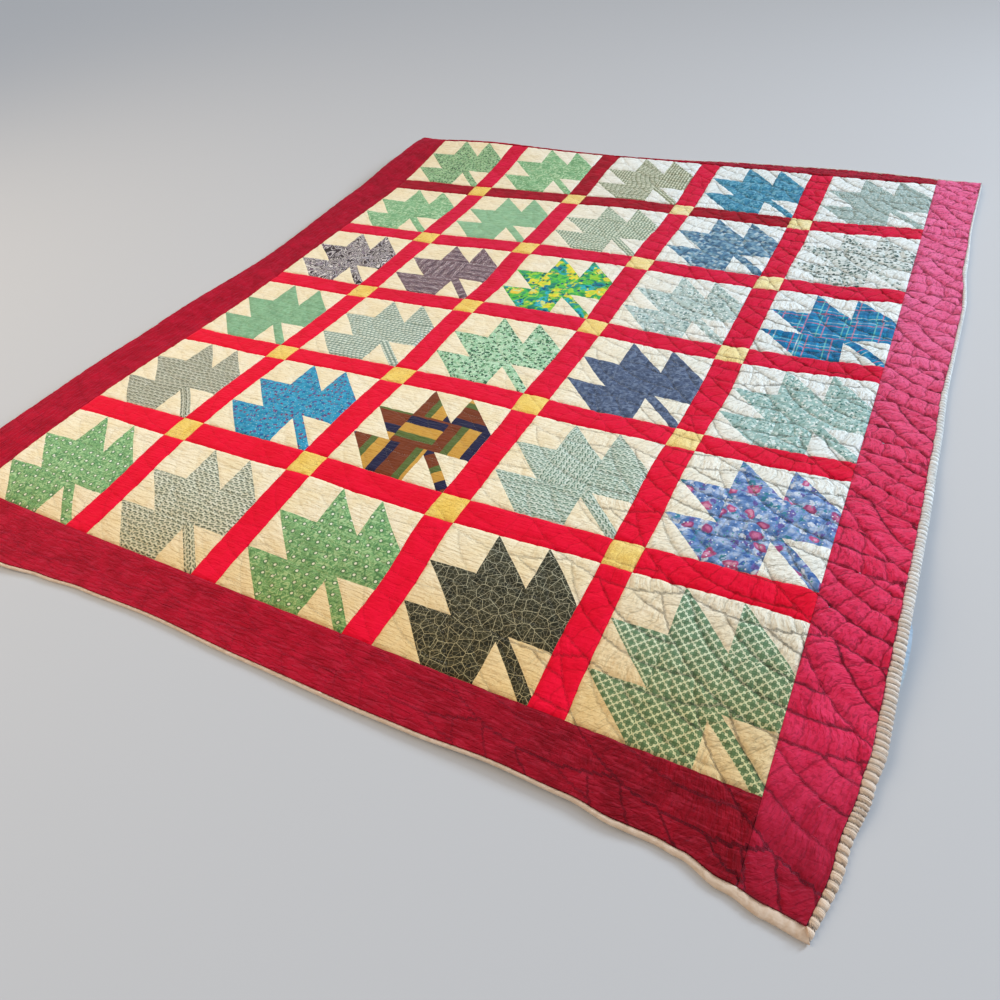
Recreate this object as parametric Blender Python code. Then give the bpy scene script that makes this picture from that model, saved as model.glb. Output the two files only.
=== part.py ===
"""A patchwork quilt lying on a floor in soft swells, its left edge turned down, its rim bound."""
import math

import bmesh
import bpy
from mathutils import Matrix, Vector

# Driving dimensions in metres. Flat places on the cloth are (across, along) from the field's middle,
# across to the right and along to the far end.
COLUMNS = 5
ROWS = 6
BLOCK = 0.240
SASH = 0.052
BORDER = 0.091
BINDING = 0.011
MARGIN = BORDER + BINDING
HALF_ACROSS = (COLUMNS * BLOCK + (COLUMNS - 1) * SASH) / 2
HALF_ALONG = (ROWS * BLOCK + (ROWS - 1) * SASH) / 2

# Layers, as heights above the underside
BACKING_TOP = 0.0012
FILLED_BOTTOM = 0.0015
FILLED_TOP = 0.0072
SEAM_DIP = 0.0032
EDGE_DIP = 0.0016
PIECE_GAP = 0.0004

# Hand quilting: overlapping fans of arcs, each drawn on the near side of its own centre
FAN_RADIUS = 0.228
FAN_STEP_ACROSS = 0.182
FAN_STEP_ALONG = 0.137
ARC_SPACING = 0.076
ARC_DIP = 0.0026

# Mesh steps: a block, a sash and a border strip each hold this many coarse cells of two fine ones
BLOCK_CELLS = 4
SASH_CELLS = 1
BORDER_CELLS = 2

# Soft swells of the whole cloth: name, across, along, reach across, reach along, rise
SWELLS = (
    ("far_ridge", -0.41, 0.96, 1.60, 0.290, 0.0295),
    ("far_left_mound", -0.58, 0.905, 0.27, 0.180, 0.0180),
    ("near_ridge", -0.29, -0.525, 0.95, 0.300, 0.0255),
    ("near_left_mound", -0.85, -0.790, 0.28, 0.200, 0.0155),
    ("near_right_mound", 0.73, -0.510, 0.35, 0.250, 0.0260),
    ("middle_rise", 0.00, 0.175, 0.35, 0.550, 0.0170),
    ("right_rise", 0.73, 0.145, 0.165, 0.500, 0.0185),
    ("right_hollow", 0.47, 0.175, 0.69, 0.225, -0.0070),
)
SETTLE = 0.0035

# The rim, side by side: place along the side, plan width of the margin, lift of the cloth's edge
RIGHT_RIM = (
    (0.935, 0.100, 0.004),
    (0.651, 0.097, 0.002),
    (0.455, 0.103, 0.002),
    (0.288, 0.113, 0.002),
    (0.001, 0.109, 0.003),
    (-0.171, 0.113, 0.004),
    (-0.350, 0.115, 0.010),
    (-0.555, 0.114, 0.022),
    (-0.745, 0.115, 0.008),
    (-0.797, 0.109, 0.005),
    (-0.876, 0.096, 0.000),
    (-0.978, 0.074, 0.000),
)
NEAR_RIM = (
    (-0.818, 0.114, 0.010),
    (-0.503, 0.108, 0.002),
    (-0.410, 0.098, 0.000),
    (-0.321, 0.091, 0.000),
    (-0.175, 0.087, 0.000),
    (0.006, 0.092, 0.000),
    (0.200, 0.094, 0.001),
    (0.290, 0.093, 0.002),
    (0.409, 0.088, 0.004),
    (0.505, 0.090, 0.003),
    (0.565, 0.097, 0.002),
    (0.610, 0.096, 0.000),
    (0.640, 0.099, 0.000),
    (0.690, 0.113, 0.000),
    (0.744, 0.122, 0.000),
    (0.803, 0.126, 0.000),
)
FAR_RIM = (
    (-0.818, 0.080, 0.000),
    (-0.640, 0.064, 0.000),
    (-0.520, 0.072, 0.000),
    (-0.380, 0.056, 0.000),
    (-0.080, 0.046, 0.000),
    (0.060, 0.072, 0.000),
    (0.200, 0.084, 0.000),
    (0.480, 0.088, 0.000),
    (0.788, 0.066, 0.000),
)
# The left rim rolls over: its lift is that of the roll's crest, from which the edge turns down
LEFT_RIM = (
    (0.935, 0.100, 0.034),
    (0.800, 0.102, 0.039),
    (0.701, 0.104, 0.034),
    (0.467, 0.102, 0.021),
    (0.088, 0.098, 0.0125),
    (-0.292, 0.106, 0.026),
    (-0.525, 0.110, 0.031),
    (-0.759, 0.108, 0.032),
    (-0.963, 0.106, 0.012),
)
CREST_AT = 0.80 * MARGIN
TURN_DOWN = 0.019

# Section of the binding: distance out from its inner edge, height above the underside
BINDING_SECTION = (
    (0.0000, 0.0000),
    (0.0084, 0.0000),
    (0.0110, 0.0022),
    (0.0110, 0.0048),
    (0.0086, 0.0071),
    (0.0030, 0.0076),
    (0.0000, 0.0060),
)

# Colour, roughness and metallic value of each material
FIELD_LOOK = ((0.72, 0.30, 0.25), 0.85, 0.0)
BORDER_LOOK = ((0.42, 0.012, 0.035), 0.80, 0.0)
BINDING_LOOK = ((0.82, 0.74, 0.60), 0.85, 0.0)
BACKING_LOOK = ((0.66, 0.72, 0.80), 0.85, 0.0)


def clear_scene():
    for old in list(bpy.data.objects):
        bpy.data.objects.remove(old, do_unlink=True)


def smooth_step(share):
    share = min(1.0, max(0.0, share))
    return share * share * (3 - 2 * share)


def mix(start, end, share):
    return start + (end - start) * share


def seam_lines(count, size, strip, cells, strip_cells):
    """Cell lines of a row of blocks with strips between them, and the seams among those lines."""
    lines = []
    seams = []
    place = -(count * size + (count - 1) * strip) / 2
    for index in range(count):
        seams.append(place)
        lines += [place + size * step / cells for step in range(cells)]
        place += size
        if index < count - 1:
            seams.append(place)
            lines += [place + strip * step / strip_cells for step in range(strip_cells)]
            place += strip
    return lines + [place], seams + [place]


def halved(lines):
    """The same lines with one more in the middle of each cell."""
    finer = []
    for low, high in zip(lines, lines[1:]):
        finer += [low, (low + high) / 2]
    return finer + [lines[-1]]


def margin_lines(edge, way):
    return [edge + way * BORDER * step / BORDER_CELLS for step in range(BORDER_CELLS + 1)]


ACROSS_LINES, ACROSS_SEAMS = seam_lines(COLUMNS, BLOCK, SASH, BLOCK_CELLS, SASH_CELLS)
ALONG_LINES, ALONG_SEAMS = seam_lines(ROWS, BLOCK, SASH, BLOCK_CELLS, SASH_CELLS)
LEFT_LINES = margin_lines(-HALF_ACROSS, -1)[::-1]
RIGHT_LINES = margin_lines(HALF_ACROSS, 1)
NEAR_LINES = margin_lines(-HALF_ALONG, -1)[::-1]
FAR_LINES = margin_lines(HALF_ALONG, 1)
ALL_ACROSS = LEFT_LINES[:-1] + ACROSS_LINES + RIGHT_LINES[1:]
ALL_ALONG = NEAR_LINES[:-1] + ALONG_LINES + FAR_LINES[1:]


def read_rim(rim, place, column):
    """A smooth reading of one column of a rim table at a place along the side."""
    rows = sorted(rim)
    if place <= rows[0][0]:
        return rows[0][column]
    for low, high in zip(rows, rows[1:]):
        if place <= high[0]:
            share = smooth_step((place - low[0]) / (high[0] - low[0]))
            return mix(low[column], high[column], share)
    return rows[-1][column]


def rim_width(rim, place, lines):
    """Plan width of the margin, straight from one coarse line to the next, so that seams match."""
    for low, high in zip(lines, lines[1:]):
        if low <= place <= high:
            share = (place - low) / (high - low)
            return mix(read_rim(rim, low, 1), read_rim(rim, high, 1), share)
    return read_rim(rim, place, 1)


def swell(across, along):
    total = -SETTLE
    for _, centre_a, centre_b, reach_a, reach_b, rise in SWELLS:
        span = ((across - centre_a) / reach_a) ** 2 + ((along - centre_b) / reach_b) ** 2
        total += rise * math.exp(-span)
    return max(0.0, total)


def left_roll(depth, along, inner):
    """Lift over the left margin: up to the roll's crest, then down to the turned edge."""
    crest = read_rim(LEFT_RIM, along, 2)
    if depth <= CREST_AT:
        return mix(inner, crest, smooth_step(depth / CREST_AT))
    share = (depth - CREST_AT) / (MARGIN - CREST_AT)
    return max(0.0, crest - TURN_DOWN * share ** 1.5)


def lift(across, along):
    """Height of the cloth's underside above the floor."""
    height = swell(across, along)
    if across < -HALF_ACROSS:
        height = left_roll(-HALF_ACROSS - across, along, height)
    sides = (
        (across - HALF_ACROSS, RIGHT_RIM, along),
        (-HALF_ALONG - along, NEAR_RIM, across),
        (along - HALF_ALONG, FAR_RIM, across),
    )
    for depth, rim, place in sides:
        if depth > 0:
            height = mix(height, read_rim(rim, place, 2), smooth_step(depth / BORDER))
    return height


def lay(across, along, height):
    """Where a flat place of the cloth lies, at a height above its underside."""
    x = across
    y = along
    if across > HALF_ACROSS:
        x = HALF_ACROSS + (across - HALF_ACROSS) * rim_width(RIGHT_RIM, along, ALL_ALONG) / MARGIN
    if across < -HALF_ACROSS:
        x = -HALF_ACROSS + (across + HALF_ACROSS) * rim_width(LEFT_RIM, along, ALL_ALONG) / MARGIN
    if along > HALF_ALONG:
        y = HALF_ALONG + (along - HALF_ALONG) * rim_width(FAR_RIM, across, ALL_ACROSS) / MARGIN
    if along < -HALF_ALONG:
        y = -HALF_ALONG + (along + HALF_ALONG) * rim_width(NEAR_RIM, across, ALL_ACROSS) / MARGIN
    return Vector((x, y, lift(across, along) + height))


def fan_groove(across, along):
    """Depth share of the quilted arcs: of the fans over a place, the farthest and rightmost shows."""
    row = math.floor((along + FAN_RADIUS) / FAN_STEP_ALONG)
    while row * FAN_STEP_ALONG >= along:
        centre_b = row * FAN_STEP_ALONG
        offset = FAN_STEP_ACROSS / 2 if row % 2 else 0.0
        column = math.floor((across + FAN_RADIUS - offset) / FAN_STEP_ACROSS)
        while column * FAN_STEP_ACROSS + offset >= across - FAN_RADIUS:
            centre_a = column * FAN_STEP_ACROSS + offset
            radius = math.hypot(centre_a - across, centre_b - along)
            if radius <= FAN_RADIUS:
                wave = 0.5 + 0.5 * math.cos(2 * math.pi * radius / ARC_SPACING)
                return wave * wave
            column -= 1
        row -= 1
    return 0.0


def on_seam(place, seams):
    return any(abs(place - seam) < PIECE_GAP for seam in seams)


def field_top(across, along):
    if on_seam(across, ACROSS_SEAMS) or on_seam(along, ALONG_SEAMS):
        return FILLED_TOP - SEAM_DIP
    return FILLED_TOP - ARC_DIP * fan_groove(across, along)


def border_top(across, along):
    inner = min(abs(abs(across) - HALF_ACROSS), abs(abs(along) - HALF_ALONG))
    outer = max(abs(across) - HALF_ACROSS, abs(along) - HALF_ALONG)
    if inner < PIECE_GAP or outer > BORDER - PIECE_GAP:
        return FILLED_TOP - EDGE_DIP
    return FILLED_TOP - ARC_DIP * fan_groove(across, along)


def drawn_in(lines):
    """Lines whose outer two stand back by half a gap from the neighbouring piece."""
    inner = list(lines)
    inner[0] += PIECE_GAP / 2
    inner[-1] -= PIECE_GAP / 2
    return inner


def grid_points(body, across_lines, along_lines, height_of):
    return [
        [body.verts.new(lay(a, b, height_of(a, b))) for b in along_lines]
        for a in across_lines
    ]


def grid_faces(body, points, upward):
    for column, beside in zip(points, points[1:]):
        for row in range(len(column) - 1):
            near_left, far_left = column[row], column[row + 1]
            near_right, far_right = beside[row], beside[row + 1]
            for corners in ((near_left, near_right, far_right), (near_left, far_right, far_left)):
                body.faces.new(corners if upward else corners[::-1])


def rim_loop(points):
    """The outer points of a grid, once round, counter-clockwise from above."""
    near = [column[0] for column in points]
    right = points[-1][1:]
    far = [column[-1] for column in points[-2::-1]]
    left = points[0][-2:0:-1]
    return near + right + far + left


def join_rims(body, top, bottom):
    """Side walls between two rims, the top one with as many or twice as many points."""
    step = len(top) // len(bottom)
    count = len(top)
    for index, low in enumerate(bottom):
        next_low = bottom[(index + 1) % len(bottom)]
        first = top[index * step]
        middle = top[index * step + step // 2]
        last = top[(index * step + step) % count]
        body.faces.new((low, next_low, middle if step == 2 else last))
        body.faces.new((low, middle, first) if step == 2 else (low, last, first))
        if step == 2:
            body.faces.new((next_low, last, middle))


def add_object(name, body, look):
    mesh = bpy.data.meshes.new(name)
    body.normal_update()
    body.to_mesh(mesh)
    body.free()
    mesh.shade_smooth()
    mesh.set_sharp_from_angle(angle=math.radians(50))
    material = bpy.data.materials.new(name)
    material.use_nodes = True
    shader = material.node_tree.nodes["Principled BSDF"]
    shader.inputs["Base Color"].default_value = (*look[0], 1.0)
    shader.inputs["Roughness"].default_value = look[1]
    shader.inputs["Metallic"].default_value = look[2]
    mesh.materials.append(material)
    piece = bpy.data.objects.new(name, mesh)
    bpy.context.scene.collection.objects.link(piece)
    return piece


def filled_piece(name, across_lines, along_lines, top_of, look):
    """A padded piece: a fine quilted top over a coarse underside, with upright sides."""
    body = bmesh.new()
    fine_across = drawn_in(halved(across_lines))
    fine_along = drawn_in(halved(along_lines))
    top = grid_points(body, fine_across, fine_along, top_of)
    bottom = grid_points(body, drawn_in(across_lines), drawn_in(along_lines), lambda a, b: FILLED_BOTTOM)
    grid_faces(body, top, True)
    grid_faces(body, bottom, False)
    join_rims(body, rim_loop(top), rim_loop(bottom))
    return add_object(name, body, look)


def backing():
    body = bmesh.new()
    across_lines = drawn_in(ALL_ACROSS)
    along_lines = drawn_in(ALL_ALONG)
    top = grid_points(body, across_lines, along_lines, lambda a, b: BACKING_TOP)
    bottom = grid_points(body, across_lines, along_lines, lambda a, b: 0.0)
    grid_faces(body, top, True)
    grid_faces(body, bottom, False)
    join_rims(body, rim_loop(top), rim_loop(bottom))
    return add_object("backing", body, BACKING_LOOK)


def binding_strip(name, lines, flat_place):
    """A bound edge: one section at each line, its ends mitred. flat_place gives (across, along)."""
    body = bmesh.new()
    last = len(lines) - 1
    rings = []
    for index, place in enumerate(lines):
        ring = []
        for out, height in BINDING_SECTION:
            spot = place
            if index == 0:
                spot = lines[0] - out + PIECE_GAP / 2
            if index == last:
                spot = lines[-1] + out - PIECE_GAP / 2
            across, along = flat_place(spot, BORDER + PIECE_GAP / 2 + out)
            ring.append(body.verts.new(lay(across, along, height)))
        rings.append(ring)
    for ring, following in zip(rings, rings[1:]):
        for index, start in enumerate(ring):
            beside = (index + 1) % len(ring)
            body.faces.new((start, following[index], following[beside]))
            body.faces.new((start, following[beside], ring[beside]))
    for ring in (rings[0], rings[-1]):
        for index in range(1, len(ring) - 1):
            body.faces.new((ring[0], ring[index], ring[index + 1]))
    bmesh.ops.recalc_face_normals(body, faces=body.faces)
    return add_object(name, body, BINDING_LOOK)


def bindings():
    along_side = {
        "binding_left": lambda place, out: (-HALF_ACROSS - out, place),
        "binding_right": lambda place, out: (HALF_ACROSS + out, place),
    }
    across_side = {
        "binding_near": lambda place, out: (place, -HALF_ALONG - out),
        "binding_far": lambda place, out: (place, HALF_ALONG + out),
    }
    strips = [binding_strip(name, ALL_ALONG, spot) for name, spot in along_side.items()]
    return strips + [binding_strip(name, ALL_ACROSS, spot) for name, spot in across_side.items()]


def borders():
    return [
        filled_piece("border_left", LEFT_LINES, ALL_ALONG, border_top, BORDER_LOOK),
        filled_piece("border_right", RIGHT_LINES, ALL_ALONG, border_top, BORDER_LOOK),
        filled_piece("border_near", ACROSS_LINES, NEAR_LINES, border_top, BORDER_LOOK),
        filled_piece("border_far", ACROSS_LINES, FAR_LINES, border_top, BORDER_LOOK),
    ]


def centre_on_floor(pieces):
    """The origin goes to the middle of the whole quilt's box, at the floor."""
    points = [vertex.co for piece in pieces for vertex in piece.data.vertices]
    middle_x = (min(p.x for p in points) + max(p.x for p in points)) / 2
    middle_y = (min(p.y for p in points) + max(p.y for p in points)) / 2
    for piece in pieces:
        piece.data.transform(Matrix.Translation((-middle_x, -middle_y, 0.0)))


def main():
    clear_scene()
    pieces = [filled_piece("pieced_field", ACROSS_LINES, ALONG_LINES, field_top, FIELD_LOOK)]
    pieces += borders()
    pieces += bindings()
    pieces.append(backing())
    centre_on_floor(pieces)


main()
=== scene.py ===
import math

import bpy
import numpy as np
from mathutils import Matrix, Vector
from mathutils.bvhtree import BVHTree


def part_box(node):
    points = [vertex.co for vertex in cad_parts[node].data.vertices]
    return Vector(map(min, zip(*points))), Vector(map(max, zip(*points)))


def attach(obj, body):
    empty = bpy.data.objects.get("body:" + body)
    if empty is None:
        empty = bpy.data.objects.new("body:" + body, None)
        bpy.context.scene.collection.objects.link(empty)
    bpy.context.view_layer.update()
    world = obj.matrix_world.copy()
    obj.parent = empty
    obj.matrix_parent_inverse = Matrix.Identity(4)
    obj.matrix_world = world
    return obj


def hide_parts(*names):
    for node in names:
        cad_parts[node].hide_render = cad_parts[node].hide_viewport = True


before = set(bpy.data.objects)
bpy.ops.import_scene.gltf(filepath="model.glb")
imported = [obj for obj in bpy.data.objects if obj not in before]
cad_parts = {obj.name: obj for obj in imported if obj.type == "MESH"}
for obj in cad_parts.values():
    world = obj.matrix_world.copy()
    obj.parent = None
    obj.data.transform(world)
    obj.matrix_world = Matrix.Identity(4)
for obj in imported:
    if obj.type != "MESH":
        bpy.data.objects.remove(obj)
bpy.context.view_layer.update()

# Flat places on the cloth are (a, b) in metres from the field's middle: a to the right, b to the far end
cloth = {
    "columns": 5,
    "rows": 6,
    "block": 0.240,
    "sash": 0.052,
    "border": 0.091,
    "binding": 0.011,
    "filledBottom": 0.0016,  # heights above the underside
    "stitchedTop": 0.0042,
    "seamGap": 0.00015,
}
pitch = cloth["block"] + cloth["sash"]
halfAcross = (cloth["columns"] * pitch - cloth["sash"]) / 2
halfAlong = (cloth["rows"] * pitch - cloth["sash"]) / 2
margin = cloth["border"] + cloth["binding"]

# Soft swells of the whole cloth: middle a, middle b, reach a, reach b, rise
swells = (
    (-0.41, 0.96, 1.60, 0.290, 0.0295),
    (-0.58, 0.905, 0.27, 0.180, 0.0180),
    (-0.29, -0.525, 0.95, 0.300, 0.0255),
    (-0.85, -0.790, 0.28, 0.200, 0.0155),
    (0.73, -0.510, 0.35, 0.250, 0.0260),
    (0.00, 0.175, 0.35, 0.550, 0.0170),
    (0.73, 0.145, 0.165, 0.500, 0.0185),
    (0.47, 0.175, 0.69, 0.225, -0.0070),
)
settle = 0.0035

# The rim, side by side: place along the side, plan width of the margin, lift of the cloth's edge
rims = {
    "right": ((-0.978, 0.074, 0.000), (-0.876, 0.096, 0.000), (-0.797, 0.109, 0.005), (-0.745, 0.115, 0.008),
              (-0.555, 0.114, 0.022), (-0.350, 0.115, 0.010), (-0.171, 0.113, 0.004), (0.001, 0.109, 0.003),
              (0.288, 0.113, 0.002), (0.455, 0.103, 0.002), (0.651, 0.097, 0.002), (0.935, 0.100, 0.004)),
    "near": ((-0.818, 0.114, 0.010), (-0.503, 0.108, 0.002), (-0.410, 0.098, 0.000), (-0.321, 0.091, 0.000),
             (-0.175, 0.087, 0.000), (0.006, 0.092, 0.000), (0.200, 0.094, 0.001), (0.290, 0.093, 0.002),
             (0.409, 0.088, 0.004), (0.505, 0.090, 0.003), (0.565, 0.097, 0.002), (0.610, 0.096, 0.000),
             (0.640, 0.099, 0.000), (0.690, 0.113, 0.000), (0.744, 0.122, 0.000), (0.803, 0.126, 0.000)),
    "far": ((-0.818, 0.080, 0.000), (-0.640, 0.064, 0.000), (-0.520, 0.072, 0.000), (-0.380, 0.056, 0.000),
            (-0.080, 0.046, 0.000), (0.060, 0.072, 0.000), (0.200, 0.084, 0.000), (0.480, 0.088, 0.000),
            (0.788, 0.066, 0.000)),
    "left": ((-0.963, 0.106, 0.012), (-0.759, 0.108, 0.032), (-0.525, 0.110, 0.031), (-0.292, 0.106, 0.026),
             (0.088, 0.098, 0.0125), (0.467, 0.102, 0.021), (0.701, 0.104, 0.034), (0.800, 0.102, 0.039),
             (0.935, 0.100, 0.034)),
}
# How much of the binding shows from above: place along the side, width
boundWidths = {
    "right": ((-0.98, 0.0125), (-0.75, 0.0150), (-0.35, 0.0120), (-0.05, 0.0105), (0.08, 0.0068),
              (0.36, 0.0068), (0.46, 0.0090), (0.60, 0.0050), (0.95, 0.0035)),
    "near": ((-0.82, 0.0050), (0.45, 0.0055), (0.62, 0.0085), (0.76, 0.0120)),
    "far": ((-0.82, 0.0040), (0.79, 0.0050)),
    "left": ((-0.98, 0.0080), (0.95, 0.0080)),
}
# The left rim rolls over: its lift is that of the roll's crest, and past the crest it turns down
crestAt = 0.80 * margin
turnDown = 0.019

fieldLow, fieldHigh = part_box("pieced_field")
shift = (fieldLow + fieldHigh) / 2


def smoothStep(share):
    share = np.clip(share, 0.0, 1.0)
    return share * share * (3 - 2 * share)


def readRim(side, place, column, table=rims):
    rows = np.array(table[side])
    index = np.clip(np.searchsorted(rows[:, 0], place) - 1, 0, len(rows) - 2)
    low, high = rows[index], rows[index + 1]
    share = smoothStep((place - low[..., 0]) / (high[..., 0] - low[..., 0]))
    return low[..., column] + (high[..., column] - low[..., column]) * share


def liftOf(a, b):
    # height of the cloth's underside above the floor
    height = np.full(a.shape, -settle)
    for middleA, middleB, reachA, reachB, rise in swells:
        height += rise * np.exp(-((a - middleA) / reachA) ** 2 - ((b - middleB) / reachB) ** 2)
    height = np.maximum(height, 0.0)
    depth = -halfAcross - a
    crest = readRim("left", b, 2)
    up = height + (crest - height) * smoothStep(depth / crestAt)
    past = np.clip((depth - crestAt) / (margin - crestAt), 0.0, 2.0)
    down = np.maximum(crest - turnDown * past ** 1.5, 0.0)
    height = np.where(depth > 0, np.where(depth <= crestAt, up, down), height)
    for side, depth, place in (("right", a - halfAcross, b), ("near", -halfAlong - b, a),
                               ("far", b - halfAlong, a)):
        height += (readRim(side, place, 2) - height) * smoothStep(depth / cloth["border"])
    return height


def rolledEdge(side, place, depth):
    # the border grows where the binding is rolled under
    width = readRim(side, place, 1, boundWidths)
    inBorder = depth * (margin - width) / cloth["border"]
    return np.where(depth < cloth["border"], inBorder, margin - (margin - depth) * width / cloth["binding"])


def layOut(a, b, height):
    # where flat places of the cloth lie, at a height above its underside
    a, b = np.broadcast_arrays(np.asarray(a, float), np.asarray(b, float))
    depthA, depthB = np.abs(a) - halfAcross, np.abs(b) - halfAlong
    edgeA = np.where(a > 0, rolledEdge("right", b, depthA), rolledEdge("left", b, depthA))
    edgeB = np.where(b > 0, rolledEdge("far", a, depthB), rolledEdge("near", a, depthB))
    strayA, strayB = strayed(a, b, 11.0), strayed(a, b, 23.0)
    a, b = (np.where(depthA > 0, np.sign(a) * (halfAcross + edgeA), a),
            np.where(depthB > 0, np.sign(b) * (halfAlong + edgeB), b))
    wide = np.where(a > 0, readRim("right", b, 1), readRim("left", b, 1)) / margin
    deep = np.where(b > 0, readRim("far", a, 1), readRim("near", a, 1)) / margin
    x = np.clip(a, -halfAcross, halfAcross)
    y = np.clip(b, -halfAlong, halfAlong)
    x = x + (a - x) * wide
    y = y + (b - y) * deep
    return np.stack((x + shift.x + strayA, y + shift.y + strayB, liftOf(a, b) + height), axis=-1)


# Hand quilting: fans of arcs that overlap like scales
quilting = {
    "radius": 0.228,
    "stepAcross": 0.182,
    "stepAlong": 0.137,
    "spacing": 0.038,
    "puff": 0.0032,
    "puffReach": 0.0046,
    "puffShape": 1.3,
    "flat": 0.6,  # share of the puff that the cloth has where nothing draws it in
    "folds": 0.0022,  # small folds that the thread draws in, square to its line
    "foldWidth": 0.0095,
    "foldReach": 0.009,
    "foldLeft": 0.35,  # share of a fold that is left far from the line
    "lean": 1.6,
    "leanStep": 0.02,
    "creases": 0.0027,  # creases that cross a whole band and make pillows of it
    "creaseStep": 0.029,
    "creaseWidth": 0.0032,
    "creaseBend": 0.3,
    "bendStep": 0.016,
    "crumple": 0.0016,
    "crumpleSize": (0.019, 0.012),
}
# How hard the quilting draws the cloth in: least at the left, most at the right, calm in the near border
pull = {
    "least": 0.26,
    "gain": 0.44,
    "way": (0.95, 0.25),
    "start": -0.10,
    "reach": 0.72,
    "inRightBorder": 0.75,
    "edge": 0.01,
    "nearCalm": 0.85,
    "nearFade": 0.05,
    "cornerCalm": 0.45,
    "cornerStart": -0.62,
    "cornerReach": 0.20,
}


def hashed(value):
    return np.modf(np.abs(np.sin(value * 12.9898) * 43758.5453))[0]


def wobble(place, seed=0.0):
    whole = np.floor(place)
    share = smoothStep(place - whole)
    return hashed(whole + seed) * (1 - share) + hashed(whole + 1 + seed) * share


def ripple(a, b, seed):
    wholeB = np.floor(b)
    share = smoothStep(b - wholeB)
    return wobble(a, wholeB * 57.31 + seed) * (1 - share) + wobble(a, (wholeB + 1) * 57.31 + seed) * share


def strayed(a, b, seed):
    # the long seams aren't quite straight: how far a place in the field strays, nothing at its rim
    inside = smoothStep((halfAcross - np.abs(a)) / 0.06) * smoothStep((halfAlong - np.abs(b)) / 0.06)
    return (2 * ripple(a / seams["strayReach"], b / seams["strayReach"], seed) - 1) * seams["stray"] * inside


def nearestStitch(a, b):
    # distance to the nearest quilted line, the angle round the fan's centre, the radius and the fan's mark
    radius, stepA, stepB = quilting["radius"], quilting["stepAcross"], quilting["stepAlong"]
    topRow = np.floor((b + radius) / stepB)
    own = np.full(a.shape, radius)
    outer = np.full(a.shape, 9.0)
    angle = np.zeros(a.shape)
    mark = np.zeros(a.shape)
    free = np.ones(a.shape, bool)
    for down in range(-1, 2):
        row = topRow - down
        offset = np.where(row % 2 == 1, stepA / 2, 0.0)
        below = row * stepB >= b
        firstColumn = np.floor((a + radius - offset) / stepA)
        for left in range(-1, 4):
            column = firstColumn - left
            awayA, awayB = column * stepA + offset - a, row * stepB - b
            away = np.hypot(awayA, awayB)
            covered = free & below & (away <= radius)
            beside = free & below & (away > radius)
            outer = np.where(beside, np.minimum(outer, away - radius), outer)
            own = np.where(covered, away, own)
            angle = np.where(covered, np.arctan2(awayB, awayA), angle)
            mark = np.where(covered, row * 100 + column, mark)
            free &= ~covered
    ring = np.maximum(np.round(own / quilting["spacing"]), 1)
    return np.minimum(np.abs(own - ring * quilting["spacing"]), outer), angle, own, mark


def seamLines(count):
    edges = []
    for index in range(count):
        start = -(count * pitch - cloth["sash"]) / 2 + index * pitch
        edges += [start, start + cloth["block"]]
    return np.array(edges)


acrossSeams = seamLines(cloth["columns"])
alongSeams = seamLines(cloth["rows"])
seams = {"dip": 0.0020, "reach": 0.0030, "patchDip": 0.0007, "patchReach": 0.0020, "borderJoin": 0.150,
         "stray": 0.0042, "strayReach": 0.125}


def seamDip(a, b):
    inField = (np.abs(a) <= halfAcross + 0.004) & (np.abs(b) <= halfAlong + 0.004)
    toA = np.abs(a[..., None] - acrossSeams).min(axis=-1)
    toB = np.abs(b[..., None] - alongSeams).min(axis=-1)
    dip = np.exp(-(toA / seams["reach"]) ** 2) + np.exp(-(toB / seams["reach"]) ** 2)
    dip = np.where(inField, np.minimum(dip, 1.2), 0.0)
    sideEdge = np.exp(-((np.abs(a) - halfAcross) / seams["reach"]) ** 2)
    join = np.exp(-((a - seams["borderJoin"]) / seams["reach"]) ** 2) * (b < -halfAlong)
    return seams["dip"] * np.maximum(dip, np.where(inField, 0.0, np.maximum(sideEdge, join)))


def alongArc(angle, own):
    band = np.floor(own / quilting["spacing"])
    return angle * (band + 0.6) * quilting["spacing"], band


def creasePlace(angle, own, mark):
    # the place along a band, counted in creases
    along, band = alongArc(angle, own)
    bend = wobble(own / quilting["bendStep"], mark * 3.1 + band) - 0.5
    return along / quilting["creaseStep"] + quilting["creaseBend"] * bend + 7.3 * hashed(band + mark)


def arcPlace(a, b):
    # a place by the arcs, for the materials: the count of creases along the band, and the radius
    away, angle, own, mark = nearestStitch(a, b)
    return np.stack((creasePlace(angle, own, mark), own / quilting["spacing"]), -1)


def drawnIn(a, b):
    along = pull["way"][0] * a + pull["way"][1] * b - pull["start"]
    inRight = smoothStep((a - halfAcross) / pull["edge"])
    strength = pull["least"] + pull["gain"] * smoothStep(along / pull["reach"])
    strength *= 1 + pull["inRightBorder"] * inRight
    calm = smoothStep((-halfAlong - b) / pull["edge"]) * smoothStep((halfAcross - a) / pull["nearFade"])
    corner = smoothStep((pull["cornerStart"] - b) / pull["cornerReach"]) * inRight
    return strength * (1 - pull["nearCalm"] * calm) * (1 - pull["cornerCalm"] * corner)


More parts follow.
